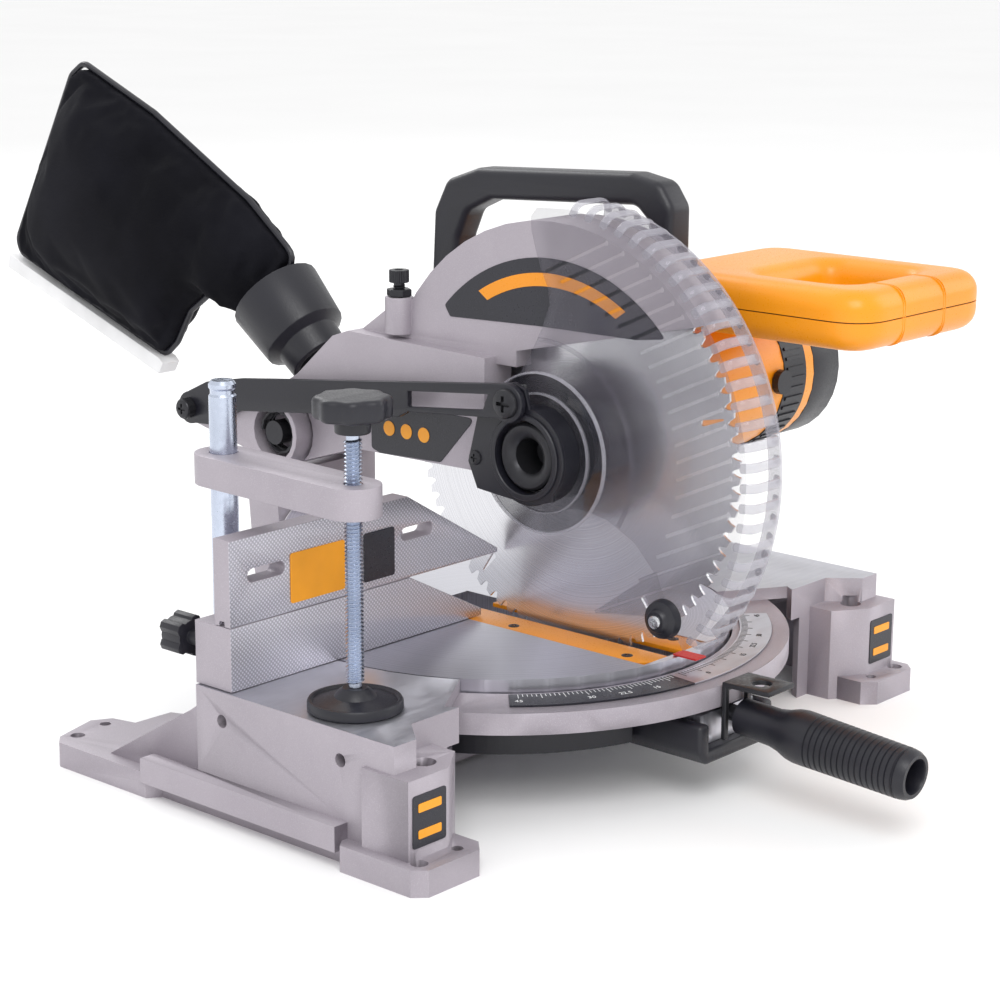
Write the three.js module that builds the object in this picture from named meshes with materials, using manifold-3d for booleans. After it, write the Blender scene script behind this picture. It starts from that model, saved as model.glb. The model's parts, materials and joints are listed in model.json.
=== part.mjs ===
// A 254 mm compound miter saw with its head locked down, a clamp on the left wing and a dust bag.
// Every sub-part is modelled around the saw's own reference: x = 0 is the plane of the blade,
// y = 0 the front face of the fence and z = 0 the bench, so the turntable turns about the z axis.
// The finished group is then moved so that its origin is the bottom centre of its bounding box.
import * as THREE from 'three';
import { mergeVertices } from 'three/addons/utils/BufferGeometryUtils.js';
import Module from 'manifold-3d';

const wasm = await Module();
wasm.setup();

// ---------- driving dimensions, millimetres ----------
const GAP = 0.3; // between pieces that touch
const TABLE_Z = 77; // height of the table above the bench
const WING_X = 233; // half width of the table
const FOOT_X = 243; // half width over the feet
const FOOT_T = 15.5; // thickness of the feet
const TURNTABLE_R = 145;
const RING_R = 182; // front apron that carries the miter scale
const RING_Z = 69;
const RING_T = 13;
const BLADE_R = 127;
const BLADE_HALF = 1.2;
const ARBOR = { y: -57, z: 192 };
const PIVOT = { y: 160, z: 175 }; // chop hinge
const MOTOR = { y: -46, z: 214, r: 50 };
const LINK = { y: 236, z: 182 }; // rear pivot of the guard link
const LINK_PIN = { y: -48, z: 224.5 }; // its front pivot, on the guard's bracket
const LOWER_FENCE_TOP = TABLE_Z + 38;
const FENCE_TOP = TABLE_Z + 89;
const RIGHT_FENCE_TOP = TABLE_Z + 60;
const FENCE_RELIEF = 1.3; // sideways step of the fence's inner end for each mm of depth
const GUARD_R = 155;
const GUARD_OUT = 28.5; // half width over the lower guard
const GUARD_WALL = 3;
const GUARD_FROM = 96; // lower guard's rear edge, degrees from straight forward, up
const GUARD_TO = -43; // its front lower edge
const CLAMP = { x: -197, y: 40, top: 248, r: 8 };
const SCREW = { x: -202, y: -70, r: 5 };
const SPOUT_X = 0;
const ARM_LEFT = -33;
const ARM_RIGHT = 40;

// ---------- materials ----------
const look = (color, roughness, metalness) =>
  new THREE.MeshStandardMaterial({ color, roughness, metalness });
const CAST = look(0xb9b2b4, 0.55, 0.5);
const MACHINED = look(0xc6c7cc, 0.3, 0.9);
const STEEL = look(0xb8bcc4, 0.25, 1.0);
const ZINC = look(0xaab6c8, 0.3, 1.0);
const DARK_STEEL = look(0x2b2b30, 0.4, 0.9);
const BLACK = look(0x1b1c22, 0.5, 0.0);
const YELLOW = look(0xf6a81c, 0.45, 0.0);
const RED = look(0xd8242a, 0.5, 0.0);
const CLEAR = new THREE.MeshStandardMaterial({
  color: 0xc9ccd6, roughness: 0.15, metalness: 0.0, transparent: true, opacity: 0.35,
});
const COPPER = look(0xb46a3c, 0.4, 0.8);
const CLOTH = look(0x15161b, 0.95, 0.0);
const WHITE = look(0xe9e9ea, 0.5, 0.0);

// ---------- shape helpers ----------
const rad = THREE.MathUtils.degToRad;

function solid(geometry) {
  geometry.deleteAttribute('normal');
  geometry.deleteAttribute('uv');
  const merged = mergeVertices(geometry, 1e-4);
  return new wasm.Manifold(new wasm.Mesh({
    numProp: 3,
    vertProperties: new Float32Array(merged.attributes.position.array),
    triVerts: new Uint32Array(merged.index.array),
  }));
}

function join(...pieces) {
  return pieces.reduce((whole, piece) => whole.add(piece));
}

function cut(body, ...tools) {
  return tools.reduce((whole, tool) => whole.subtract(tool), body);
}

function box(x0, x1, y0, y1, z0, z1) {
  const g = new THREE.BoxGeometry(x1 - x0, y1 - y0, z1 - z0);
  return solid(g.translate((x0 + x1) / 2, (y0 + y1) / 2, (z0 + z1) / 2));
}

// A cylinder or cone along an axis, with its centre line given by the two other coordinates.
function rod(axis, a, b, from, to, r0, r1 = r0, sides = 20) {
  const g = new THREE.CylinderGeometry(r1, r0, to - from, sides);
  const mid = (from + to) / 2;
  if (axis === 'x') return solid(g.rotateZ(-Math.PI / 2).translate(mid, a, b));
  if (axis === 'y') return solid(g.translate(a, mid, b));
  return solid(g.rotateX(Math.PI / 2).translate(a, b, mid));
}

// An outline through points, and an annular sector of one, angles in degrees.
function outline(points) {
  return new THREE.Shape(points.map(([u, v]) => new THREE.Vector2(u, v)));
}

function sector(r0, r1, a0, a1, cu = 0, cv = 0) {
  const shape = new THREE.Shape();
  shape.absarc(cu, cv, r1, rad(a0), rad(a1), false);
  shape.absarc(cu, cv, r0, rad(a1), rad(a0), true);
  shape.closePath();
  return shape;
}

function stadium(u0, u1, v, r) {
  const shape = new THREE.Shape();
  shape.absarc(u1 - r, v, r, rad(-90), rad(90), false);
  shape.absarc(u0 + r, v, r, rad(90), rad(270), false);
  shape.closePath();
  return shape;
}

const FROM_YZ = new THREE.Matrix4().set(0, 0, 1, 0, 1, 0, 0, 0, 0, 1, 0, 0, 0, 0, 0, 1);
const FROM_XZ = new THREE.Matrix4().set(1, 0, 0, 0, 0, 0, -1, 0, 0, 1, 0, 0, 0, 0, 0, 1);

function extruded(shape, depth, curveSegments) {
  return new THREE.ExtrudeGeometry(shape, { depth, bevelEnabled: false, curveSegments });
}

// Plates of an outline: in plan (x, y), from the side (y, z) and from the front (x, z).
function slabZ(shape, z0, z1, steps = 8) {
  return solid(extruded(shape, z1 - z0, steps).translate(0, 0, z0));
}

function slabX(shape, x0, x1, steps = 8) {
  return solid(extruded(shape, x1 - x0, steps).applyMatrix4(FROM_YZ).translate(x0, 0, 0));
}

function slabY(shape, y0, y1, steps = 8) {
  return solid(extruded(shape, y1 - y0, steps).applyMatrix4(FROM_XZ).translate(0, y1, 0));
}

// A turned piece: profile points are (radius, distance along the axis from the origin).
function turned(points, sides = 24) {
  return new THREE.LatheGeometry(points.map(([r, t]) => new THREE.Vector2(r, t)), sides);
}

function mirroredX(points) {
  return points.map(([x, y]) => [-x, y]).reverse();
}

function bothSides(points, make) {
  return join(make(outline(points)), make(outline(mirroredX(points))));
}

const group = new THREE.Group();

function node(name, body, material) {
  const { vertProperties, triVerts } = body.getMesh();
  const geometry = new THREE.BufferGeometry();
  geometry.setAttribute('position', new THREE.BufferAttribute(new Float32Array(vertProperties), 3));
  geometry.setIndex(new THREE.BufferAttribute(new Uint32Array(triVerts), 1));
  geometry.computeVertexNormals();
  const mesh = new THREE.Mesh(geometry, material);
  mesh.name = name;
  group.add(mesh);
}

// ---------- base ----------
const WELL_R = TURNTABLE_R + 1.5;
const HUB_TOP = 24;
const WALL = 7;

function wing() {
  const rear = 28;
  const plan = [
    [92, rear], [92, -111], [200, -111], [216, -130], [WING_X, -130], [WING_X, rear],
  ];
  const inner = [
    [99, rear - WALL], [99, -111 + WALL], [203, -111 + WALL], [219, -130 + WALL],
    [WING_X - WALL, -130 + WALL], [WING_X - WALL, rear - WALL],
  ];
  const shell = bothSides(plan, (s) => slabZ(s, 0, TABLE_Z));
  return cut(shell, bothSides(inner, (s) => slabZ(s, -1, TABLE_Z - 8)));
}

// A thick flange runs along each side between the feet, clear of the bench.
function sideFlanges() {
  return [-1, 1].map((side) => box(
    Math.min(side * (WING_X - 1), side * FOOT_X), Math.max(side * (WING_X - 1), side * FOOT_X),
    -94, 68, 10, 25,
  ));
}

// The box in front of each wing, with a ledge below the table, and the foot it stands on.
function frontFeet() {
  const plan = [[236, -108], [236, -143], [205, -143], [183, -128], [183, -108]];
  const inner = [[230, -106], [230, -137], [207, -137], [189, -125], [189, -106]];
  const ledge = cut(
    bothSides(plan, (s) => slabZ(s, 0, 61)),
    bothSides(inner, (s) => slabZ(s, -1, 54)),
  );
  const foot = [
    [FOOT_X, -98], [232, -90], [205, -90], [188, -118], [188, -150], [196, -158],
    [236, -158], [FOOT_X, -151],
  ];
  return join(ledge, bothSides(foot, (s) => slabZ(s, 0, FOOT_T)));
}

function rearFeet() {
  const foot = [
    [WING_X, 20], [WING_X, 60], [241, 66], [241, 146], [234, 154], [202, 164], [190, 157],
    [186, 140], [158, 139], [150, 120], [176, 20],
  ];
  const rib = [[20, FOOT_T - 1], [20, 70], [34, 60], [110, FOOT_T - 1]];
  const ribs = [-1, 1].map((side) => slabX(
    outline(rib), Math.min(side * 225, side * 232), Math.max(side * 225, side * 232),
  ));
  return join(bothSides(foot, (s) => slabZ(s, 0, FOOT_T)), ...ribs);
}

function baseHoles() {
  const holes = [];
  for (const side of [-1, 1]) {
    holes.push(rod('z', side * 232.4, -147.5, -1, 20, 5));
    holes.push(rod('z', side * 203, -148, -1, 20, 3.5, 3.5, 16));
    holes.push(rod('z', side * 225, 148, -1, 20, 4.5));
    holes.push(rod('z', side * 200, 152, -1, 20, 3.5, 3.5, 16));
    holes.push(rod('z', side * 207, -127, 50, 65, 7));
    for (const y of [6.5, -89]) {
      holes.push(rod('x', y, 59.5, Math.min(side * 220, side * 240), Math.max(side * 220, side * 240),
        4, 4, 16));
    }
  }
  return holes;
}

function baseCasting() {
  const apron = slabZ(sector(WELL_R, RING_R, -157, -23), RING_Z - RING_T, RING_Z, 20);
  const beam = box(-WING_X + 3, WING_X - 3, -33, 33, 3, 13);
  const hub = rod('z', 0, 0, 0, HUB_TOP, 32);
  const clampBoss = rod('z', CLAMP.x, CLAMP.y, 0, 70, 16);
  const well = rod('z', 0, 0, HUB_TOP, TABLE_Z + 1, WELL_R, WELL_R, 48);
  const armRoom = slabZ(sector(100, 204, -158, -22), -1, RING_Z - RING_T - 0.01, 12);
  const wings = cut(wing(), armRoom, well);
  // Room in the wings' corners for the apron's front and for the latch that rides round it.
  const apronSeat = slabZ(
    sector(140, RING_R + 14, -148, -32), RING_Z - RING_T - 1, TABLE_Z + 1, 12,
  );
  return cut(
    join(cut(wings, apronSeat), ...sideFlanges(), frontFeet(), rearFeet(), beam, hub, apron, clampBoss),
    ...baseHoles(),
    rod('z', 0, 0, -1, HUB_TOP + 1, 8),
    rod('z', CLAMP.x, CLAMP.y, 12, 71, CLAMP.r + GAP),
  );
}

node('base_casting', baseCasting(), CAST);
node('miter_scale', slabZ(sector(151, 171, -137, -43), RING_Z + GAP, RING_Z + 1.3, 18), BLACK);
node('pivot_bolt', rod('z', 0, 0, 2, 50, 8 - GAP), DARK_STEEL);

// ---------- turntable and what it carries ----------
const KERF_OUT = 30.5;
const KERF_IN = 7;
const KERF_FROM = -139;
const KERF_TO = 14;
const ARM_Z0 = 34;
const ARM_Z1 = 53;

function turntable() {
  const disc = rod('z', 0, 0, TABLE_Z - 14, TABLE_Z, TURNTABLE_R, TURNTABLE_R, 48);
  const hub = rod('z', 0, 0, HUB_TOP + GAP, TABLE_Z - 14, 30);
  const nose = join(
    box(-26, 26, -140, -20, ARM_Z0, TABLE_Z - 13),
    box(-26, 26, -178, -138, ARM_Z0, ARM_Z1 - GAP),
  );
  const neck = join(
    box(-26, 26, 20, 152, 40, TABLE_Z - 13),
    box(-26, 26, 130, 152, 40, TABLE_Z),
    slabY(sector(0.01, 57, 0, 180, 0, TABLE_Z), 140, 154.6, 20),
    rod('y', 0, TABLE_Z, 130, 154.6, 34),
  );
  const plateSeat = box(-KERF_OUT - GAP, KERF_OUT + GAP, KERF_FROM - GAP, KERF_TO + GAP,
    TABLE_Z - 3.4, TABLE_Z + 1);
  const slot = box(-16, 16, KERF_FROM, 44, 58, TABLE_Z + 1);
  return cut(
    join(disc, hub, nose, neck), plateSeat, slot,
    rod('z', 0, 0, HUB_TOP, 52, 8), rod('y', 0, TABLE_Z, 118, 156, 12 + GAP),
  );
}

function kerfPlate(side) {
  const corner = 8;
  return slabZ(outline([
    [side * KERF_IN, KERF_TO], [side * KERF_IN, KERF_FROM], [side * (KERF_OUT - corner), KERF_FROM],
    [side * KERF_OUT, KERF_FROM + corner], [side * KERF_OUT, KERF_TO],
  ]), TABLE_Z - 3, TABLE_Z - 0.2);
}

node('turntable', turntable(), MACHINED);
node('kerf_plate_left', kerfPlate(-1), YELLOW);
node('kerf_plate_right', kerfPlate(1), YELLOW);
node('miter_pointer', box(-5, 5, -158, -141, TABLE_Z + GAP, TABLE_Z + 1.3), RED);
for (const [name, a0, a1] of [['skirt_left', -150, -106], ['skirt_right', -74, -30]]) {
  node(name, slabZ(sector(139, 144, a0, a1), 31, TABLE_Z - 14 - GAP, 8), BLACK);
}
node('lock_housing', cut(
  slabY(outline([[-36, 50], [-36, 33], [-29, 25], [29, 25], [36, 33], [36, 50]]), -186, -112),
  box(-26.5, 26.5, -187, -100, ARM_Z0 - GAP, 60),
), BLACK);

// The miter handle screws on the lock rod, which runs back inside the turntable's nose.
const HANDLE_DROP = 4; // degrees that the handle points down
function alongHandle(geometry) {
  return solid(geometry.rotateX(rad(180 + HANDLE_DROP)).translate(0, -178, 50));
}
const GRIP = [
  [0, 12], [11, 12], [11.5, 36], [16, 52], [16, 62], [15.2, 124], [13, 131], [10, 131],
  [10, 118], [0, 118],
];
node('miter_handle', alongHandle(turned(GRIP, 20)), BLACK);
node('lock_rod', alongHandle(turned([[0, 0.5], [5, 0.5], [5, 11.5], [0, 11.5]], 16)), DARK_STEEL);

function miterLatch() {
  const profile = outline([
    [-216, 72], [-182.6, 71.5], [-182.6, 36], [-185.6, 36], [-185.6, 68.5], [-216, 69],
  ]);
  return cut(
    slabX(profile, -12, 14),
    box(-8, 10, -190, -180.5, 35, 66),
    rod('z', 1, -202, 60, 80, 6, 6, 16),
  );
}
node('miter_latch', miterLatch(), DARK_STEEL);

// ---------- fences ----------
// The inner end of each fence steps back with depth, which leaves the blade its miter swing.
function reliefCut(tipX, side) {
  const far = 200;
  return slabZ(outline(
    side < 0
      ? [[tipX, -1], [far, -1], [far, 40], [tipX - 40 * FENCE_RELIEF, 40]]
      : [[tipX, -1], [tipX + 40 * FENCE_RELIEF, 40], [-far, 40], [-far, -1]],
  ), 0, 300);
}

function lowerFence(side) {
  const s = side;
  const face = side < 0
    ? [[-231, TABLE_Z + GAP], [-18, TABLE_Z + GAP], [-18, 81], [-84, LOWER_FENCE_TOP],
      [-231, LOWER_FENCE_TOP]]
    : [[231, LOWER_FENCE_TOP], [84, LOWER_FENCE_TOP], [18, 81], [18, TABLE_Z + GAP],
      [231, TABLE_Z + GAP]];
  const body = slabY(outline(face), 0, 30);
  const back = box(Math.min(s * 90, s * 222), Math.max(s * 90, s * 222), 10, 31, 85, 107);
  const tongue = box(Math.min(s * 95, s * 228), Math.max(s * 95, s * 228), 5, 9,
    LOWER_FENCE_TOP - 1, LOWER_FENCE_TOP + 3);
  return cut(join(cut(body, back), tongue), reliefCut(s * 18, side));
}

function upperFence(side, top) {
  const s = side;
  const slope = 83 / (FENCE_TOP - LOWER_FENCE_TOP - 2);
  const peak = 3 + (top - LOWER_FENCE_TOP - 2) * slope;
  const z0 = LOWER_FENCE_TOP + GAP;
  const face = side < 0
    ? [[-231, z0], [-3, z0], [-3, z0 + 2], [-peak, top], [-231, top]]
    : [[231, top], [peak, top], [3, z0 + 2], [3, z0], [231, z0]];
  const groove = box(-300, 300, 5 - GAP, 9 + GAP, z0 - 1, LOWER_FENCE_TOP + 3 + GAP);
  const slots = [[188, 217], [64, 92]].map(([a, b]) => slabY(
    stadium(Math.min(s * a, s * b), Math.max(s * a, s * b), TABLE_Z + 66, 4), -1, 20, 6,
  ));
  return cut(slabY(outline(face), 0, 13), groove, ...slots, reliefCut(s * 3, side));
}

function fenceKnob(side) {
  const x = side * 224;
  const lobes = [0, 72, 144, 216, 288].map((a) => rod(
    'y', x + 9 * Math.cos(rad(a)), 101 + 9 * Math.sin(rad(a)), 40, 56, 4, 4, 8,
  ));
  return join(rod('y', x, 101, 30 + GAP, 41, 4.5, 4.5, 16), rod('y', x, 101, 40, 56, 10), ...lobes);
}

node('lower_fence_left', lowerFence(-1), MACHINED);
node('lower_fence_right', lowerFence(1), MACHINED);
node('upper_fence_left', upperFence(-1, FENCE_TOP), MACHINED);
node('upper_fence_right', upperFence(1, RIGHT_FENCE_TOP), MACHINED);
node('fence_knob_left', fenceKnob(-1), BLACK);
node('fence_knob_right', fenceKnob(1), BLACK);

// ---------- work clamp ----------
const CLAMP_ARM_Z0 = 188;
const CLAMP_ARM_Z1 = 206;

function clampArm() {
  const end = 17;
  const dx = SCREW.x - CLAMP.x;
  const dy = SCREW.y - CLAMP.y;
  const plan = new THREE.Shape();
  const lean = Math.atan2(dy, dx);
  plan.absarc(CLAMP.x, CLAMP.y, end, lean + Math.PI / 2, lean + 1.5 * Math.PI, false);
  plan.absarc(SCREW.x, SCREW.y, end - 1, lean - Math.PI / 2, lean + Math.PI / 2, false);
  plan.closePath();
  return cut(
    slabZ(plan, CLAMP_ARM_Z0, CLAMP_ARM_Z1, 10),
    rod('z', CLAMP.x, CLAMP.y, 180, 220, CLAMP.r + GAP),
    rod('z', SCREW.x, SCREW.y, 180, 220, SCREW.r + GAP),
  );
}

function clampKnob() {
  const lobes = [];
  for (let i = 0; i < 7; i += 1) {
    const a = (2 * Math.PI * i) / 7;
    lobes.push(rod('z', SCREW.x + 16 * Math.cos(a), SCREW.y + 16 * Math.sin(a), 243, 254,
      5.5, 5.5, 8));
  }
  return join(
    rod('z', SCREW.x, SCREW.y, 243, 254, 17.5), rod('z', SCREW.x, SCREW.y, 234.3, 244, 10),
    ...lobes,
  );
}

node('clamp_post', rod('z', CLAMP.x, CLAMP.y, 12 + GAP, CLAMP.top, CLAMP.r, CLAMP.r, 28), ZINC);
node('clamp_arm', clampArm(), CAST);
node('clamp_screw', rod('z', SCREW.x, SCREW.y, 90, 234, SCREW.r, SCREW.r, 16), ZINC);
node('clamp_knob', clampKnob(), BLACK);
node('clamp_foot', solid(turned([
  [0, TABLE_Z + GAP], [27, TABLE_Z + GAP], [27, 81], [24, 84], [9, 88], [7, 89.7], [0, 89.7],
], 28).rotateX(Math.PI / 2).translate(SCREW.x, SCREW.y, 0)), BLACK);

// ---------- bevel arm ----------
const LUG_R = 22;
const LUG_IN = 24;
const LUG_OUT = 46;
const LUG_CLEAR = 0.4; // between the lugs and the head's barrel
const ARM_Y0 = 157;
const ARM_Y1 = 185;
const SPRING_POCKET = 18.4;
const LOCK_PIN = { y: 171, z: 163, r: 3.5 };

function bevelArm() {
  const front = outline([
    [-34, TABLE_Z - 30], [34, TABLE_Z - 30], [42, TABLE_Z], [LUG_OUT, 130], [LUG_OUT, PIVOT.z],
    [LUG_IN, PIVOT.z], [LUG_IN, 148], [-LUG_IN, 148], [-LUG_IN, PIVOT.z], [-LUG_OUT, PIVOT.z],
    [-LUG_OUT, 130], [-42, TABLE_Z],
  ]);
  const lugs = [-1, 1].map((side) => rod('x', PIVOT.y, PIVOT.z,
    Math.min(side * LUG_IN, side * LUG_OUT), Math.max(side * LUG_IN, side * LUG_OUT), LUG_R));
  const bracket = slabX(outline([
    [PIVOT.y, PIVOT.z - 20], [LINK.y, LINK.z - 11], [LINK.y + 9, LINK.z], [LINK.y, LINK.z + 9],
    [PIVOT.y, PIVOT.z + 20],
  ]), -LUG_OUT, -LUG_OUT + 8);
  return cut(
    join(slabY(front, ARM_Y0, ARM_Y1), ...lugs, bracket, rod('y', 0, TABLE_Z, ARM_Y0, ARM_Y1, 42)),
    rod('x', PIVOT.y, PIVOT.z, -LUG_OUT - 1, LUG_OUT + 1, 8 + GAP),
    rod('x', PIVOT.y, PIVOT.z, -LUG_OUT - 1, -LUG_IN - 3, SPRING_POCKET),
    rod('x', LOCK_PIN.y, LOCK_PIN.z, 0, LUG_OUT + 1, LOCK_PIN.r + GAP, LOCK_PIN.r + GAP, 12),
    rod('y', 0, TABLE_Z, ARM_Y0 - 1, ARM_Y1 + 1, 12 + GAP),
  );
}

class Helix extends THREE.Curve {
  constructor(radius, turns, length) {
    super();
    Object.assign(this, { radius, turns, length });
  }

  getPoint(t, target = new THREE.Vector3()) {
    const a = 2 * Math.PI * this.turns * t;
    return target.set(this.length * t, this.radius * Math.cos(a), this.radius * Math.sin(a));
  }
}

function torsionSpring() {
  const wire = new THREE.Shape().absarc(0, 0, 1.5, 0, 2 * Math.PI, false);
  const coil = new THREE.ExtrudeGeometry(wire, {
    steps: 36, extrudePath: new Helix(14, 3, 11), curveSegments: 3,
  });
  return solid(coil.translate(-42, PIVOT.y, PIVOT.z));
}

node('bevel_arm', bevelArm(), CAST);
node('torsion_spring', torsionSpring(), DARK_STEEL);
node('chop_pivot_pin', rod('x', PIVOT.y, PIVOT.z, 1 - LUG_OUT, LUG_OUT - 1, 8), STEEL);
node('bevel_shaft', rod('y', 0, TABLE_Z, 119, ARM_Y1 - 1, 12), STEEL);
node('bevel_scale', slabY(sector(44, 56, 25, 155, 0, TABLE_Z), 154.9, 156.4, 20), WHITE);
node('bevel_lock_knob', join(
  rod('y', 0, TABLE_Z, ARM_Y1 + GAP, ARM_Y1 + 8, 14),
  rod('y', 0, TABLE_Z, ARM_Y1 + 7, ARM_Y1 + 24, 20, 17, 8),
  slabX(outline([[ARM_Y1 + 10, 77], [ARM_Y1 + 22, 77], [ARM_Y1 + 28, 40], [ARM_Y1 + 20, 38]]), -6, 6),
), BLACK);
node('lockdown_pin', join(
  rod('x', LOCK_PIN.y, LOCK_PIN.z, LUG_IN + 1, LUG_OUT + 12, LOCK_PIN.r, LOCK_PIN.r, 12),
  rod('x', LOCK_PIN.y, LOCK_PIN.z, LUG_OUT + 11, LUG_OUT + 24, 8, 8, 16),
), DARK_STEEL);

// ---------- head casting ----------
const UPPER_R = 139;
const SLOT_HALF = 8;
const SHELL = 22; // half width of the upper guard
const GEARCASE_X0 = 31;
const GEARCASE_X1 = 60;
const GEAR_R = 18; // pitch radius of the spindle's gear
const STOP = { x: -24, y: 66 };

// The hood over the blade is a part of a disc, cut off below by a line that rises to the front.
function upperGuard() {
  const disc = rod('x', ARBOR.y, ARBOR.z, -SHELL, SHELL, UPPER_R, UPPER_R, 48);
  const below = slabX(outline([
    [-260, 302], [-150, 277], [-30, 250], [-30, 40], [-260, 40],
  ]), -SHELL - 1, SHELL + 1);
  const behind = box(-SHELL - 1, SHELL + 1, -31, 100, 40, 240);
  return cut(disc, below, behind);
}

// The arm ends above in a ridge, and a narrower web rises from it to the hood.
function arm() {
  const webTop = [[104, 246], [81, 262], [35, 281], [-14, 287], [-14, 240]];
  return join(
    slabX(outline([
      [-14, 174], [96, 172], [PIVOT.y, PIVOT.z - 23], [PIVOT.y + 23, PIVOT.z], [178, 197],
      [150, 214], [117, 243], [103, 248], [-14, 245],
    ]), ARM_LEFT, ARM_RIGHT),
    slabX(outline(webTop), -SHELL, ARM_RIGHT - 14),
    rod('x', PIVOT.y, PIVOT.z, -LUG_IN + LUG_CLEAR, LUG_IN - LUG_CLEAR, 23),
  );
}

// Past the guard's right wall the casting widens into the gear case that the motor bolts on.
function gearCase() {
  const neck = rod('x', ARBOR.y, ARBOR.z, SLOT_HALF, GEARCASE_X0 + 1, 50);
  const bridge = slabX(outline([
    [ARBOR.y, 150], [60, 174], [60, 262], [ARBOR.y + 4, 236],
  ]), SLOT_HALF, 26);
  const housing = join(
    rod('x', ARBOR.y, ARBOR.z, GEARCASE_X0, GEARCASE_X1, 50),
    rod('x', MOTOR.y, MOTOR.z, GEARCASE_X0, GEARCASE_X1, MOTOR.r + 3),
    slabX(outline([[-50, 150], [92, 175], [92, 260.4], [60, 277.6], [-50, 266]]),
      GEARCASE_X0, GEARCASE_X1),
  );
  return join(neck, bridge, housing);
}

function headCasting() {
  const bladeRoom = rod('x', ARBOR.y, ARBOR.z, -SLOT_HALF, SLOT_HALF, BLADE_R + 4, BLADE_R + 4, 40);
  const gearRoom = join(
    rod('x', ARBOR.y, ARBOR.z, 34, GEARCASE_X1 + 1, GEAR_R + 3),
    rod('x', MOTOR.y, MOTOR.z, 34, GEARCASE_X1 + 1, 14),
  );
  const lugFace = LUG_IN - LUG_CLEAR;
  const lugRoom = join(...[-1, 1].map((side) => rod(
    'x', PIVOT.y, PIVOT.z, Math.min(side * lugFace, side * 90), Math.max(side * lugFace, side * 90), 24,
  )));
  const stopBoss = rod('z', STOP.x, STOP.y, 250, 273, 9, 9, 16);
  const body = join(arm(), upperGuard(), gearCase(), stopBoss);
  return cut(
    body, bladeRoom, gearRoom, lugRoom,
    rod('x', PIVOT.y, PIVOT.z, -100, 100, 8 + GAP),
    rod('x', ARBOR.y, ARBOR.z, 0, 40, 9),
    rod('x', ARBOR.y, ARBOR.z, 20, 34 + 0.1, 16 + GAP),
    ...[-100, LUG_IN - LUG_CLEAR].map((x) => slabX(
      outline([[134, 140], [210, 140], [210, 202], [181, 202]]), x, x + 100 + LUG_CLEAR - LUG_IN,
    )),
    rod('x', LOCK_PIN.y, LOCK_PIN.z, 10, LUG_IN + 1, LOCK_PIN.r + 0.6, LOCK_PIN.r + 0.6, 12),
    rod('z', STOP.x, STOP.y, 251, 280, 4 + GAP, 4 + GAP, 12),
  );
}

node('head_casting', headCasting(), CAST);
node('depth_stop_screw', join(
  rod('z', STOP.x, STOP.y, 273 + GAP, 278, 8, 8, 16), rod('z', STOP.x, STOP.y, 255, 283, 4, 4, 12),
  rod('z', STOP.x, STOP.y, 282, 290, 6.2, 6.2, 12),
), DARK_STEEL);

// ---------- spindle, blade and motor ----------
const PINION_R = Math.hypot(MOTOR.y - ARBOR.y, MOTOR.z - ARBOR.z) - GEAR_R;

function onArbor(x0, x1, r, sides = 24) {
  return rod('x', ARBOR.y, ARBOR.z, x0, x1, r, r, sides);
}

function blade() {
  const teeth = 32;
  const shape = new THREE.Shape();
  for (let i = 0; i < teeth; i += 1) {
    const a = (2 * Math.PI * i) / teeth;
    const pitch = (2 * Math.PI) / teeth;
    const points = [[BLADE_R, 0], [BLADE_R - 1.5, 0.45], [BLADE_R - 7, 0.8]];
    for (const [r, share] of points) {
      const b = a + share * pitch;
      if (i === 0 && share === 0) shape.moveTo(r * Math.cos(b), r * Math.sin(b));
      else shape.lineTo(r * Math.cos(b), r * Math.sin(b));
    }
  }
  shape.closePath();
  const disc = slabX(shape, -BLADE_HALF, BLADE_HALF).translate(0, ARBOR.y, ARBOR.z);
  return cut(disc, onArbor(-3, 3, 8 + GAP));
}

node('spindle', onArbor(-7, 54, 8), STEEL);
node('spindle_bearing', cut(onArbor(20.3, 33.7, 16), onArbor(20, 34, 8 + GAP)), STEEL);
node('spindle_gear', cut(onArbor(37, 51, GEAR_R - 0.2, 32), onArbor(36, 52, 8 + GAP)), STEEL);
node('inner_flange', cut(onArbor(BLADE_HALF + GAP, 7.6, 21), onArbor(0, 9, 8 + GAP)), DARK_STEEL);
node('blade', blade(), STEEL);
node('outer_flange', cut(
  join(onArbor(-16, -BLADE_HALF - GAP, 21), onArbor(-34, -15, 19.5)),
  onArbor(-8, 0, 8 + GAP), onArbor(-35, -15, 10),
), DARK_STEEL);
node('arbor_bolt', cut(onArbor(-24, -15 - GAP, 8, 16), onArbor(-25, -19, 4, 6)), DARK_STEEL);

function onMotor(x0, x1, r, sides = 24) {
  return rod('x', MOTOR.y, MOTOR.z, x0, x1, r, r, sides);
}

const MOTOR_X0 = GEARCASE_X1 + GAP;
const CAP_X0 = 200;
const CAP_X1 = 238;
const GLAND_X = 216;
const BEARING_X = 212; // near side of the bearing in the end cap
const FIELD_R = MOTOR.r - 3;

node('motor_housing', cut(
  onMotor(MOTOR_X0, CAP_X0, MOTOR.r, 28), onMotor(MOTOR_X0 + 4, CAP_X0 + 1, FIELD_R, 28),
  onMotor(MOTOR_X0 - 1, MOTOR_X0 + 5, 14),
), YELLOW);
node('stator', cut(onMotor(92, 150, FIELD_R - GAP, 32), onMotor(90, 152, 30)), DARK_STEEL);
node('armature', join(
  onMotor(38, BEARING_X + 16, 5, 16), onMotor(39, 51, PINION_R - 0.2, 16),
  onMotor(96, 148, 28, 24), onMotor(156, 172, 15, 20), onMotor(72, 82, 40, 20),
), COPPER);
node('motor_bearing', cut(
  onMotor(BEARING_X, BEARING_X + 10, 13), onMotor(BEARING_X - 1, BEARING_X + 11, 5 + GAP),
), STEEL);

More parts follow.
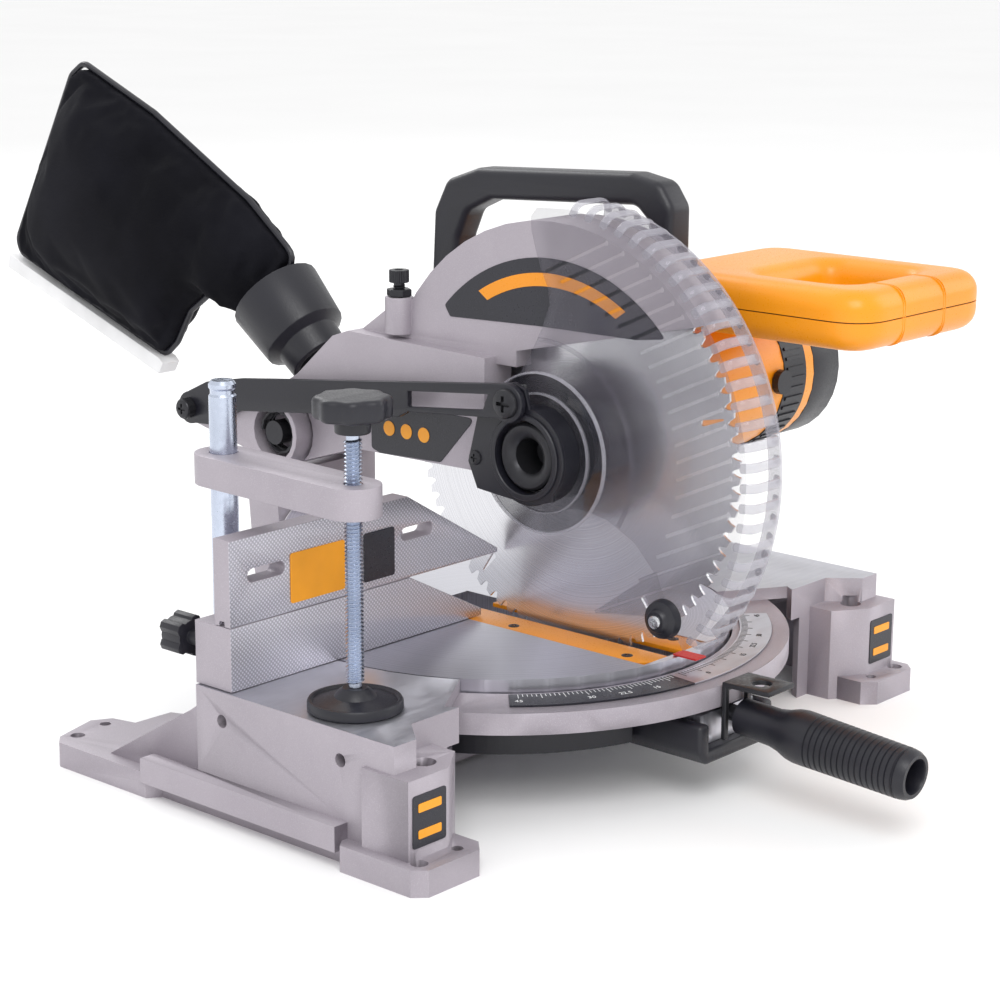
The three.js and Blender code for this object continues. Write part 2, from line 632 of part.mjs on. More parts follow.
function endCap() {
  const shell = solid(turned([
    [0, CAP_X1], [MOTOR.r - 12, CAP_X1], [MOTOR.r - 4, CAP_X1 - 3], [MOTOR.r, CAP_X1 - 9],
    [MOTOR.r, CAP_X0 + GAP], [FIELD_R, CAP_X0 + GAP], [FIELD_R, BEARING_X - 2],
    [13 + GAP, BEARING_X - 2], [13 + GAP, BEARING_X + 12], [7, BEARING_X + 12],
    [7, BEARING_X + 19], [0, BEARING_X + 19],
  ].reverse(), 32).rotateZ(-Math.PI / 2).translate(0, MOTOR.y, MOTOR.z));
  const vents = [0, 90, 180, 270].map((a) => {
    const u = MOTOR.y + 33 * Math.cos(rad(a));
    const v = MOTOR.z + 33 * Math.sin(rad(a));
    return rod('x', u, v, CAP_X0 + 5, CAP_X1 + 1, 4, 4, 8);
  });
  return cut(shell, ...vents);
}

node('motor_end_cap', endCap(), BLACK);
for (const [name, side] of [['brush_cap_front', -1], ['brush_cap_rear', 1]]) {
  const y = MOTOR.y + side * MOTOR.r;
  node(name, rod('y', 160, MOTOR.z, Math.min(y + side * GAP, y + side * 5),
    Math.max(y + side * GAP, y + side * 5), 8, 8, 16), BLACK);
}
node('cord_gland', join(
  rod('y', GLAND_X, MOTOR.z - 14, MOTOR.y + MOTOR.r + GAP, MOTOR.y + MOTOR.r + 8, 9, 9, 16),
  rod('y', GLAND_X, MOTOR.z - 14, MOTOR.y + MOTOR.r + 7, MOTOR.y + MOTOR.r + 26, 7, 5, 16),
), BLACK);

// ---------- handles ----------
const LOOP = { x0: 48, x1: 188, y0: -231, y1: -66, mid: 280 };
const BAR_R = 18; // half thickness of the handle's bars

function roundedRect(x0, x1, y0, y1, r) {
  const shape = new THREE.Shape();
  shape.absarc(x1 - r, y1 - r, r, 0, rad(90), false);
  shape.absarc(x0 + r, y1 - r, r, rad(90), rad(180), false);
  shape.absarc(x0 + r, y0 + r, r, rad(180), rad(270), false);
  shape.absarc(x1 - r, y0 + r, r, rad(270), rad(360), false);
  shape.closePath();
  return shape;
}

// Each half of the D-handle is a ring whose bars are half round, in steps that follow the circle.
function handleHalf(side) {
  const steps = [[0, 9], [9, 14], [14, BAR_R]];
  const layers = steps.map(([near, far]) => {
    const inset = BAR_R - Math.sqrt(BAR_R ** 2 - near ** 2);
    const shape = roundedRect(
      LOOP.x0 + inset, LOOP.x1 - inset, LOOP.y0 + inset, LOOP.y1 - inset, 30 - inset,
    );
    const hole = roundedRect(84 - inset, 152 + inset, -195 - inset, -136 + inset, 14);
    const z0 = LOOP.mid + (side > 0 ? GAP / 2 : -far);
    const z1 = LOOP.mid + (side > 0 ? far : -GAP / 2);
    return cut(slabZ(shape, z0, z1, 4), slabZ(hole, z0 - 1, z1 + 1, 4));
  });
  return cut(
    join(...layers), box(92, 143, -208, -190, 265, 295),
    onMotor(MOTOR_X0 - 3, CAP_X1 + 1, MOTOR.r + 0.6, 28),
    box(30, GEARCASE_X1 + 1, -100, -50, 250, 275),
  );
}

node('handle_lower', handleHalf(-1), YELLOW);
node('handle_upper', handleHalf(1), YELLOW);
node('trigger', slabX(outline([
  [-195, 267], [-189, 269], [-186, 280], [-189, 291], [-195, 293],
]), 94, 141), BLACK);

function carryHandle() {
  const outer = outline([
    [92, 263], [88, 322], [74, 342], [52, 350], [-72, 356], [-92, 352], [-104, 338], [-104, 258],
    [-88, 258], [-88, 328], [-78, 337], [40, 331], [62, 322], [68, 303], [70, 272],
  ].reverse());
  return cut(
    slabX(outer, 31, 53),
    box(44.5, 60, -120, -80, 250, 300),
    slabX(outline([[112, 250], [60, 278], [60, 240]]), 30, 54),
  );
}

node('carry_handle', carryHandle(), BLACK);

// ---------- lower guard and its link ----------
// Guard angles are measured from straight forward (-y), positive up, so they turn into 180 - a.
function guardSector(r0, r1, a0, a1) {
  return sector(r0, r1, 180 - a0, 180 - a1, ARBOR.y, ARBOR.z);
}

function lowerGuard() {
  const inner = GUARD_OUT - GUARD_WALL;
  const left = join(
    slabX(guardSector(70, GUARD_R, GUARD_FROM, GUARD_TO), -GUARD_OUT, -inner, 20),
    slabX(guardSector(30, 72, 100, -60), -GUARD_OUT, -inner, 16),
    rod('x', ARBOR.y, ARBOR.z, -GUARD_OUT, -inner, 36),
  );
  const right = slabX(guardSector(62, GUARD_R, GUARD_FROM, GUARD_TO), inner, GUARD_OUT, 20);
  const rim = slabX(guardSector(GUARD_R - GUARD_WALL, GUARD_R, GUARD_FROM, GUARD_TO),
    -GUARD_OUT, GUARD_OUT, 20);
  const hole = rod('x', ARBOR.y, ARBOR.z, -GUARD_OUT - 1, -inner + 1, 22.5);
  return cut(join(left, right, rim), hole);
}

// The bracket stands off the guard on a sleeve round the flange and carries the link's pin.
const BRACKET_X = -45;

function guardBracket() {
  const plate = slabX(outline([
    [-34, 228], [-19, 212], [-11.5, 183], [-19, 167], [-35, 166.5], [-63, 167.5], [-92, 172],
    [-104, 190], [-96, 208], [-78, 222], [-62, 232], [-48, 236],
  ]), BRACKET_X, BRACKET_X + 3);
  const sleeve = rod('x', ARBOR.y, ARBOR.z, BRACKET_X, -GUARD_OUT - GAP, 30);
  const pin = rod('x', LINK_PIN.y, LINK_PIN.z, BRACKET_X - 1.6, BRACKET_X + 1, 4, 4, 12);
  return cut(join(plate, sleeve, pin), rod('x', ARBOR.y, ARBOR.z, -50, -20, 22.5));
}

// The link is a flat bar with a triangular window near its front end.
function linkBar() {
  const x1 = BRACKET_X - 2;
  const x0 = x1 - 4.5;
  const bar = slabX(outline([
    [LINK.y - 3, LINK.z - 10], [LINK.y + 6, LINK.z + 9], [219, 201.9], [185, 208.6], [130, 215.4],
    [41, 226.5], [LINK_PIN.y, LINK_PIN.z + 12], [LINK_PIN.y - 4, LINK_PIN.z - 9], [33, 208],
    [41, 203.6], [120, 194.5], [186, 186.7], [216, 173],
  ]), x0, x1);
  const window = slabX(outline([[33, 221], [33, 211], [-22, 217], [-29, 218], [-33, 228]]),
    x0 - 1, x1 + 1);
  return cut(
    join(
      cut(bar, window), rod('x', LINK.y, LINK.z, x0, x1, 11),
      rod('x', LINK_PIN.y, LINK_PIN.z, x0, x1, 12),
    ),
    rod('x', LINK.y, LINK.z, x0 - 1, x1 + 1, 4 + GAP, 4 + GAP, 12),
  );
}

node('lower_guard', lowerGuard(), CLEAR);
node('guard_roller', rod('x', ARBOR.y - 96, ARBOR.z - 84, -39, -GUARD_OUT - GAP, 12), BLACK);
node('guard_bracket', guardBracket(), BLACK);
node('link_bar', linkBar(), BLACK);
node('link_screw', join(
  rod('x', LINK.y, LINK.z, -53, -LUG_OUT - GAP, 4, 4, 12),
  rod('x', LINK.y, LINK.z, -57, -51.5 - GAP, 7, 7, 16),
), DARK_STEEL);

// ---------- dust spout and bag ----------
const SPOUT = { y: 160, z: 216, up: 42 };

function alongSpout(geometry) {
  return solid(geometry.rotateX(rad(SPOUT.up)).translate(SPOUT_X, SPOUT.y, SPOUT.z));
}

node('dust_spout', alongSpout(turned([
  [16, 2], [21, 2], [22, 18], [29, 22], [32, 60], [29, 60], [26, 24], [17, 18], [16, 2],
], 24)), BLACK);

// The bag is a flat pouch, thick in the middle and thin along its hem.
function pouch(points, x, hem, belly, shrink) {
  const cy = points.reduce((s, p) => s + p[0], 0) / points.length;
  const cz = points.reduce((s, p) => s + p[1], 0) / points.length;
  const inner = points.map(([y, z]) => [cy + (y - cy) * shrink, cz + (z - cz) * shrink]);
  const rings = [[inner, x - belly], [points, x - hem], [points, x + hem], [inner, x + belly]];
  const n = points.length;
  const position = [];
  for (const [ring, rx] of rings) for (const [y, z] of ring) position.push(rx, y, z);
  const index = [];
  for (let r = 0; r < 3; r += 1) {
    for (let i = 0; i < n; i += 1) {
      const j = (i + 1) % n;
      const a = r * n + i;
      const b = r * n + j;
      index.push(a, b, b + n, a, b + n, a + n);
    }
  }
  const flat = inner.map(([y, z]) => new THREE.Vector2(y, z));
  for (const [a, b, c] of THREE.ShapeUtils.triangulateShape(flat, [])) {
    index.push(a, c, b, 3 * n + a, 3 * n + b, 3 * n + c);
  }
  return new wasm.Manifold(new wasm.Mesh({
    numProp: 3, vertProperties: new Float32Array(position), triVerts: new Uint32Array(index),
  }));
}

const BAG = [
  [228, 236], [244, 248], [264, 254], [290, 236], [305, 212], [318, 201], [478, 258],
  [482, 268], [412, 392], [398, 401], [323, 370], [229, 318], [184, 283],
];
node('dust_bag', pouch(BAG, SPOUT_X, 6, 30, 0.72), CLOTH);
node('bag_closure', slabX(outline([
  [317, 199.6], [313, 196], [318, 188], [486, 247], [484, 257],
].reverse()), SPOUT_X - 8, SPOUT_X + 8), WHITE);

// ---------- origin at the bottom centre of the bounding box ----------
const bounds = new THREE.Box3().setFromObject(group);
const middle = bounds.getCenter(new THREE.Vector3());
group.position.set(-middle.x, -middle.y, -bounds.min.z);

export default group;
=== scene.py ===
"""A compound miter saw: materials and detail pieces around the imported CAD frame."""
import json
from math import cos, degrees, pi, radians, sin, sqrt, tan

import bmesh
import bpy
from mathutils import Matrix, Vector

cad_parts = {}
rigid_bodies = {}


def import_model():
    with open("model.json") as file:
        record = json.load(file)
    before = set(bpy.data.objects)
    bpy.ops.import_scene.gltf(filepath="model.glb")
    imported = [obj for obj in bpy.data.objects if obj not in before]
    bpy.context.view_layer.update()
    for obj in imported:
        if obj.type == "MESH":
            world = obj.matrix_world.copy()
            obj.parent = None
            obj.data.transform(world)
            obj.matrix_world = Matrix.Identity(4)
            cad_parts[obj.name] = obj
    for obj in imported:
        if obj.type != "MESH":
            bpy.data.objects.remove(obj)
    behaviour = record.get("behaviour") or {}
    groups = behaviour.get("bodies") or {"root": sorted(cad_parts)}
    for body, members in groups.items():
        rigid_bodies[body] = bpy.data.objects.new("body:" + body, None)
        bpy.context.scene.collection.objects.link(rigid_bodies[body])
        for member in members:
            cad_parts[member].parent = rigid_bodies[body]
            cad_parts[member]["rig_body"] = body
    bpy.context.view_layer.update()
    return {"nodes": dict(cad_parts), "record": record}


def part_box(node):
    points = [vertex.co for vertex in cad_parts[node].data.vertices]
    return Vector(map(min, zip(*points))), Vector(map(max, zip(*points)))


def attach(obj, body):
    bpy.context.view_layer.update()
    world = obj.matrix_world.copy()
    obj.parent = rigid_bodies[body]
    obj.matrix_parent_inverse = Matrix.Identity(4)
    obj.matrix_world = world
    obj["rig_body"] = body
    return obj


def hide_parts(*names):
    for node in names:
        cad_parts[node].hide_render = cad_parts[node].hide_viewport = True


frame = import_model()
NODES = frame["nodes"]

# ---------- places: millimetres about the blade plane, the fence face and the bench ----------
MM = 0.001
FENCE_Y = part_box("lower_fence_left")[0].y


def extent(node):
    """A node's lowest and highest corners, in millimetres about the fence."""
    shift = Vector((0, FENCE_Y, 0))
    lo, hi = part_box(node)
    return (Vector(lo) - shift) / MM, (Vector(hi) - shift) / MM


def centre(node):
    lo, hi = extent(node)
    return (lo + hi) / 2


BLADE = centre("blade")
BLADE_R = (extent("blade")[1].z - extent("blade")[0].z) / 2
TABLE_Z = extent("base_casting")[1].z
GUARD_X = extent("lower_guard")[1].x
GUARD_R = extent("lower_guard")[1].z - BLADE.z
MOTOR = centre("motor_bearing")
MOTOR_R = (extent("motor_end_cap")[1].z - extent("motor_end_cap")[0].z) / 2
POST = centre("clamp_post")
SCREW = centre("clamp_screw")
STOP = centre("depth_stop_screw")
LINK_REAR = centre("link_screw")
LINK_FRONT = Vector((-51.5, -48, 224.5))  # the link's front pivot
HANDLE_LO = extent("handle_lower")[0]
HANDLE_HI = extent("handle_upper")[1]
HOOD_X = -22.0  # the hood's left face
ARM_X = extent("head_casting")[0].x


def P(x, y, z):
    """A point in the row frame, in metres, from millimetres about the fence."""
    return Vector((x * MM, y * MM + FENCE_Y, z * MM))


# ---------- mesh helpers ----------
def new_object(name, mesh):
    obj = bpy.data.objects.new(name, mesh)
    bpy.context.scene.collection.objects.link(obj)
    return obj


def meshed(name, curve):
    """The mesh that a curve makes."""
    maker = new_object(name, curve)
    bpy.context.view_layer.update()
    deps = bpy.context.evaluated_depsgraph_get()
    mesh = bpy.data.meshes.new_from_object(maker.evaluated_get(deps))
    bpy.data.objects.remove(maker)
    return mesh


def from_bmesh(name, bm):
    mesh = bpy.data.meshes.new(name)
    bm.to_mesh(mesh)
    bm.free()
    return new_object(name, mesh)


SHARP = 32  # degrees between two faces, past which their edge stays sharp
SHARP_PLATE = 18  # the same for a plate with a narrow bevel, so that its face looks flat


def smooth(obj, angle=SHARP):
    obj.data.shade_smooth()
    obj.data.set_sharp_from_angle(angle=radians(angle))
    return obj


def merged(obj, distance=2e-6):
    bm = bmesh.new()
    bm.from_mesh(obj.data)
    bmesh.ops.remove_doubles(bm, verts=bm.verts, dist=distance)
    bmesh.ops.recalc_face_normals(bm, faces=bm.faces)
    bm.to_mesh(obj.data)
    bm.free()
    return obj


def applied(obj):
    """Makes the object's modifiers part of its mesh."""
    bpy.context.view_layer.update()
    deps = bpy.context.evaluated_depsgraph_get()
    mesh = bpy.data.meshes.new_from_object(obj.evaluated_get(deps))
    obj.modifiers.clear()
    obj.data = mesh
    return obj


def joined(name, objects):
    bpy.ops.object.select_all(action="DESELECT")
    for o in objects:
        o.select_set(True)
    bpy.context.view_layer.objects.active = objects[0]
    bpy.ops.object.join()
    objects[0].name = name
    return objects[0]


def arc(r, a0, a1, n, cu=0.0, cv=0.0):
    """Points on an arc, angles in degrees."""
    turn = [radians(a0 + (a1 - a0) * i / n) for i in range(n + 1)]
    return [(cu + r * cos(a), cv + r * sin(a)) for a in turn]


def filleted(points, radius, steps=6):
    """An outline with its corners rounded."""
    out = []
    n = len(points)
    for i, corner in enumerate(points):
        b, a, c = Vector(corner), Vector(points[i - 1]), Vector(points[(i + 1) % n])
        u, v = (a - b).normalized(), (c - b).normalized()
        reach = radius / max(0.05, tan(u.angle(v) / 2))
        reach = min(reach, (a - b).length / 2.05, (c - b).length / 2.05)
        p, q = b + u * reach, b + v * reach
        for k in range(steps + 1):
            t = k / steps
            out.append(tuple(p * (1 - t) ** 2 + b * 2 * t * (1 - t) + q * t * t))
    return out


def rectangle(u0, u1, v0, v1):
    return [(u0, v0), (u1, v0), (u1, v1), (u0, v1)]


AXES = {
    "x": Matrix(((0, 0, 1, 0), (1, 0, 0, 0), (0, 1, 0, 0), (0, 0, 0, 1))),
    "y": Matrix(((1, 0, 0, 0), (0, 0, -1, 0), (0, 1, 0, 0), (0, 0, 0, 1))),
    "z": Matrix.Identity(4),
}


def signed_area(loop):
    """Positive where the outline runs anticlockwise."""
    return sum(a[0] * b[1] - b[0] * a[1] for a, b in zip(loop, loop[1:] + loop[:1])) / 2


def plate(name, loops, axis, low, high, edge=0.3, rounds=1):
    """A plate with rounded edges, its outline first and then its holes, between two places on an axis."""
    curve = bpy.data.curves.new(name, "CURVE")
    curve.dimensions = "2D"
    curve.fill_mode = "BOTH"
    curve.extrude = ((high - low) / 2 - edge) * MM
    curve.bevel_depth = edge * MM
    curve.bevel_resolution = rounds
    curve.offset = -edge * MM
    for number, loop in enumerate(loops):
        if (signed_area(loop) > 0) == (number > 0):
            loop = loop[::-1]
        spline = curve.splines.new("POLY")
        spline.points.add(len(loop) - 1)
        for point, (u, v) in zip(spline.points, loop):
            point.co = (u * MM, v * MM, 0, 1)
        spline.use_cyclic_u = True
    mesh = meshed(name, curve)
    middle = (high + low) / 2
    lift = {"x": P(middle, 0, 0), "y": P(0, middle, 0), "z": P(0, 0, middle)}[axis]
    mesh.transform(Matrix.Translation(lift) @ AXES[axis])
    return smooth(merged(new_object(name, mesh)), SHARP_PLATE if rounds < 3 else SHARP)


def turned(name, profile, origin, direction=(1, 0, 0), sides=48, ring=False):
    """A turned piece: profile is (radius, place along the axis from the origin); a ring has a bore."""
    bm = bmesh.new()
    turns = [2 * pi * i / sides for i in range(sides)]
    rings = []
    for r, t in profile:
        rings.append([bm.verts.new((r * MM * cos(a), r * MM * sin(a), t * MM)) for a in turns])
    pairs = list(zip(rings, rings[1:]))
    if ring:
        pairs.append((rings[-1], rings[0]))
    for a, b in pairs:
        for i in range(sides):
            j = (i + 1) % sides
            bm.faces.new((a[i], a[j], b[j], b[i]))
    if not ring and profile[0][0] > 0:
        bm.faces.new(rings[0])
    if not ring and profile[-1][0] > 0:
        bm.faces.new(list(reversed(rings[-1])))
    obj = from_bmesh(name, bm)
    turn = Vector((0, 0, 1)).rotation_difference(Vector(direction)).to_matrix().to_4x4()
    obj.data.transform(Matrix.Translation(P(*origin)) @ turn)
    return smooth(merged(obj))


def block(name, low, high, round_off=1.0):
    """A box with rounded edges between two corners."""
    bm = bmesh.new()
    bmesh.ops.create_cube(bm, size=1)
    for v in bm.verts:
        v.co = P(*(lo + (c + 0.5) * (hi - lo) for c, lo, hi in zip(v.co, low, high)))
    bmesh.ops.bevel(bm, geom=bm.edges[:], offset=round_off * MM, segments=2, affect="EDGES")
    return smooth(from_bmesh(name, bm))


def softened(node, width, segments=3):
    """A copy of a CAD node with rounded edges, which stands for the node."""
    mesh = NODES[node].data.copy()
    bm = bmesh.new()
    bm.from_mesh(mesh)
    bmesh.ops.remove_doubles(bm, verts=bm.verts, dist=1e-5)
    bmesh.ops.dissolve_limit(bm, angle_limit=radians(1.5), verts=bm.verts, edges=bm.edges)
    bm.to_mesh(mesh)
    bm.free()
    obj = new_object(node + ".soft", mesh)
    bevel = obj.modifiers.new("edges", "BEVEL")
    bevel.width = width * MM
    bevel.segments = segments
    bevel.limit_method = "ANGLE"
    bevel.angle_limit = radians(35)
    applied(obj)
    smooth(obj)
    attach(obj, NODES[node]["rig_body"])
    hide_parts(node)
    return obj


# ---------- materials ----------
def material(name):
    mat = bpy.data.materials.new(name)
    mat.use_nodes = True
    tree = mat.node_tree
    return mat, tree, tree.nodes["Principled BSDF"]


def add(tree, kind, **values):
    made = tree.nodes.new(kind)
    for key, value in values.items():
        if key in made.inputs:
            made.inputs[key].default_value = value
        else:
            setattr(made, key, value)
    return made


def ramp(tree, factor, stops):
    made = tree.nodes.new("ShaderNodeValToRGB")
    tree.links.new(factor, made.inputs["Fac"])
    elements = made.color_ramp.elements
    while len(elements) < len(stops):
        elements.new(0.5)
    for element, (place, colour) in zip(elements, stops):
        element.position = place
        element.color = (*colour, 1)
    return made.outputs["Color"]


def coords(tree, scale=(1, 1, 1), rotation=(0, 0, 0)):
    spot = tree.nodes.new("ShaderNodeTexCoord")
    mapping = add(tree, "ShaderNodeMapping")
    mapping.inputs["Scale"].default_value = scale
    mapping.inputs["Rotation"].default_value = rotation
    tree.links.new(spot.outputs["Object"], mapping.inputs["Vector"])
    return mapping.outputs["Vector"]


def grain(tree, scale, detail=3.0, stretch=(1, 1, 1)):
    made = add(tree, "ShaderNodeTexNoise", Scale=scale, Detail=detail)
    tree.links.new(coords(tree, stretch), made.inputs["Vector"])
    return made.outputs["Fac"]


def bumped(tree, shader, height, strength, distance):
    made = add(tree, "ShaderNodeBump", Strength=strength, Distance=distance)
    tree.links.new(height, made.inputs["Height"])
    tree.links.new(made.outputs["Normal"], shader.inputs["Normal"])


def shade(value):
    """Two close tones of a colour, for mottling."""
    return tuple(c * 0.88 for c in value), tuple(min(1.0, c * 1.07) for c in value)


def surface(name, colour, rough, metal, grain_scale, bump, distance=0.0004, mottle=25.0, stretch=(1, 1, 1)):
    """The general finish: mottled colour, uneven gloss and a fine grain."""
    mat, tree, shader = material(name)
    dark, light = shade(colour)
    tree.links.new(ramp(tree, grain(tree, mottle), [(0.3, dark), (0.7, light)]), shader.inputs["Base Color"])
    fine = grain(tree, grain_scale, 4.0, stretch)
    low, high = max(0.02, rough - 0.08), min(1.0, rough + 0.08)
    tree.links.new(ramp(tree, fine, [(0.3, (low,) * 3), (0.7, (high,) * 3)]), shader.inputs["Roughness"])
    shader.inputs["Metallic"].default_value = metal
    bumped(tree, shader, fine, bump, distance)
    return mat


def cast_paint():
    """Grey painted casting: a sandy skin with lighter specks, and rub marks in broad patches."""
    mat, tree, shader = material("cast_paint")
    patches = grain(tree, 14.0, 5.0)
    base = ramp(tree, patches, [(0.3, (0.355, 0.322, 0.362)), (0.7, (0.420, 0.383, 0.425))])
    specks = ramp(tree, grain(tree, 2400.0, 2.0), [(0.58, (0, 0, 0)), (0.72, (1, 1, 1))])
    mix = add(tree, "ShaderNodeMix", data_type="RGBA", blend_type="MIX")
    tree.links.new(specks, mix.inputs["Factor"])
    tree.links.new(base, mix.inputs[6])
    mix.inputs[7].default_value = (0.50, 0.465, 0.51, 1)
    tree.links.new(mix.outputs[2], shader.inputs["Base Color"])
    fine = grain(tree, 1100.0, 4.0)
    tree.links.new(ramp(tree, fine, [(0.3, (0.38,) * 3), (0.7, (0.56,) * 3)]), shader.inputs["Roughness"])
    shader.inputs["Metallic"].default_value = 0.35
    bumped(tree, shader, fine, 0.35, 0.0003)
    return mat


def ringed_metal(name, middle, flatten, dark, light, rough):
    """Face-turned metal: fine rings about an axis through a point."""
    mat, tree, shader = material(name)
    spot = tree.nodes.new("ShaderNodeTexCoord")
    shift = add(tree, "ShaderNodeVectorMath", operation="SUBTRACT")
    shift.inputs[1].default_value = middle
    tree.links.new(spot.outputs["Object"], shift.inputs[0])
    flat = add(tree, "ShaderNodeVectorMath", operation="MULTIPLY")
    flat.inputs[1].default_value = flatten
    tree.links.new(shift.outputs["Vector"], flat.inputs[0])
    length = add(tree, "ShaderNodeVectorMath", operation="LENGTH")
    tree.links.new(flat.outputs["Vector"], length.inputs[0])
    rings = add(tree, "ShaderNodeTexNoise", noise_dimensions="1D", Scale=1400.0, Detail=2.0)
    tree.links.new(length.outputs["Value"], rings.inputs["W"])
    colour = ramp(tree, rings.outputs["Fac"], [(0.3, dark), (0.7, light)])
    tree.links.new(colour, shader.inputs["Base Color"])
    shader.inputs["Metallic"].default_value = 0.95
    shader.inputs["Roughness"].default_value = rough
    bumped(tree, shader, rings.outputs["Fac"], 0.06, 0.0001)
    return mat


def hatched_metal():
    """The milled fence face: two crossing sets of fine lines."""
    mat, tree, shader = material("hatched_metal")
    waves = []
    for angle in (radians(45), radians(-45)):
        wave = add(tree, "ShaderNodeTexWave", Scale=160.0)
        tree.links.new(coords(tree, rotation=(0, angle, 0)), wave.inputs["Vector"])
        waves.append(wave.outputs["Fac"])
    both = add(tree, "ShaderNodeMath", operation="MULTIPLY")
    tree.links.new(waves[0], both.inputs[0])
    tree.links.new(waves[1], both.inputs[1])
    colour = ramp(tree, both.outputs["Value"], [(0.0, (0.44, 0.43, 0.48)), (0.8, (0.80, 0.78, 0.85))])
    tree.links.new(colour, shader.inputs["Base Color"])
    shader.inputs["Metallic"].default_value = 0.85
    shader.inputs["Roughness"].default_value = 0.36
    bumped(tree, shader, both.outputs["Value"], 0.5, 0.0003)
    return mat


def clear_plastic(name, dark, light, alpha):
    """Smoky clear plastic, thin enough to see straight through."""
    mat, tree, shader = material(name)
    smoke = ramp(tree, grain(tree, 8.0), [(0.3, dark), (0.7, light)])
    tree.links.new(smoke, shader.inputs["Base Color"])
    rough = ramp(tree, grain(tree, 60.0), [(0.3, (0.04,) * 3), (0.7, (0.10,) * 3)])
    tree.links.new(rough, shader.inputs["Roughness"])
    shader.inputs["Alpha"].default_value = alpha
    shader.inputs["Specular IOR Level"].default_value = 0.7
    return mat


def woven_cloth():
    mat, tree, shader = material("woven_cloth")
    waves = []
    for axis in ("Y", "Z"):
        wave = add(tree, "ShaderNodeTexWave", Scale=330.0, bands_direction=axis)
        tree.links.new(coords(tree), wave.inputs["Vector"])
        waves.append(wave.outputs["Fac"])
    weave = add(tree, "ShaderNodeMath", operation="MAXIMUM")
    tree.links.new(waves[0], weave.inputs[0])
    tree.links.new(waves[1], weave.inputs[1])
    tone = ramp(tree, grain(tree, 14.0), [(0.3, (0.003, 0.003, 0.005)), (0.75, (0.009, 0.009, 0.013))])
    tree.links.new(tone, shader.inputs["Base Color"])
    shader.inputs["Roughness"].default_value = 0.85
    shader.inputs["Specular IOR Level"].default_value = 0.12
    bumped(tree, shader, weave.outputs["Value"], 0.35, 0.0003)
    return mat


SILVER_DARK, SILVER_LIGHT = (0.60, 0.60, 0.63), (0.80, 0.80, 0.83)
TABLE_DARK, TABLE_LIGHT = (0.52, 0.52, 0.57), (0.74, 0.74, 0.80)
CAST = cast_paint()
MACHINED = surface("machined_metal", (0.56, 0.56, 0.61), 0.36, 0.9, 260.0, 0.015, stretch=(0.2, 1, 1))
TURNED = ringed_metal("turned_metal", (0, FENCE_Y, 0), (1, 1, 0), TABLE_DARK, TABLE_LIGHT, 0.30)
BRIGHT = ringed_metal("blade_steel", P(0, BLADE.y, BLADE.z), (0, 1, 1), SILVER_DARK, SILVER_LIGHT, 0.26)
HATCHED = hatched_metal()
STEEL = surface("polished_steel", (0.62, 0.63, 0.65), 0.2, 1.0, 700.0, 0.05)
ZINC = surface("zinc_plate", (0.52, 0.57, 0.68), 0.26, 1.0, 300.0, 0.08)
DARK = surface("black_oxide", (0.035, 0.035, 0.04), 0.38, 0.6, 500.0, 0.15)
BLACK = surface("black_plastic", (0.010, 0.010, 0.016), 0.40, 0.0, 1100.0, 0.3, 0.0002)
LABEL = surface("black_label", (0.014, 0.014, 0.022), 0.33, 0.0, 900.0, 0.06, 0.0001)
YELLOW = surface("yellow_plastic", (0.86, 0.30, 0.004), 0.33, 0.0, 900.0, 0.15, 0.0002, 9.0)
RED = surface("red_plastic", (0.62, 0.02, 0.02), 0.45, 0.0, 600.0, 0.1)
ORANGE = surface("orange_label", (0.92, 0.36, 0.01), 0.4, 0.0, 400.0, 0.05)
COPPER = surface("copper_winding", (0.5, 0.2, 0.08), 0.35, 0.9, 200.0, 0.3, stretch=(1, 5, 5))
WHITE = surface("white_plastic", (0.78, 0.78, 0.79), 0.4, 0.0, 500.0, 0.08)
CLEAR = clear_plastic("clear_plastic", (0.10, 0.09, 0.12), (0.16, 0.15, 0.19), 0.17)
# Painted highlight: a lighter, more opaque copy of the clear plastic for the guard's slats, rim edge and
# beads, standing for edges that catch the light.
CLEAR_PAINTED_HIGHLIGHT = clear_plastic("clear_painted_highlight", (0.34, 0.33, 0.38), (0.52, 0.51, 0.57), 0.42)
SMOKE = clear_plastic("smoky_plastic", (0.015, 0.015, 0.02), (0.03, 0.03, 0.038), 0.42)
CLOTH = woven_cloth()
BY_SLOT = {
    "cast_alloy": CAST, "machined_alloy": MACHINED, "bright_steel": STEEL, "zinc_steel": ZINC,
    "dark_steel": DARK, "black_plastic": BLACK, "yellow_plastic": YELLOW, "red_plastic": RED,
    "clear_plastic": CLEAR, "copper": COPPER, "bag_cloth": CLOTH, "white_plastic": WHITE,
}
SLOT_OF = {s["node"]: s["material_slot"] for s in frame["record"]["subparts"]}


def paint(obj, *mats):
    obj.data.materials.clear()
    for mat in mats:
        obj.data.materials.append(mat)
    return obj


def fitted(obj, mat, body, slot, *nodes):
    """Paints a new piece, sets it on a body and, where it stands for CAD nodes, hides them."""
    paint(obj, mat)
    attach(obj, body)
    if nodes:
        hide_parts(*nodes)
    return obj


for name, node in NODES.items():
    paint(node, BY_SLOT[SLOT_OF[name]])
    smooth(node, 28)
paint(NODES["turntable"], TURNED)
paint(NODES["chop_pivot_pin"], DARK)

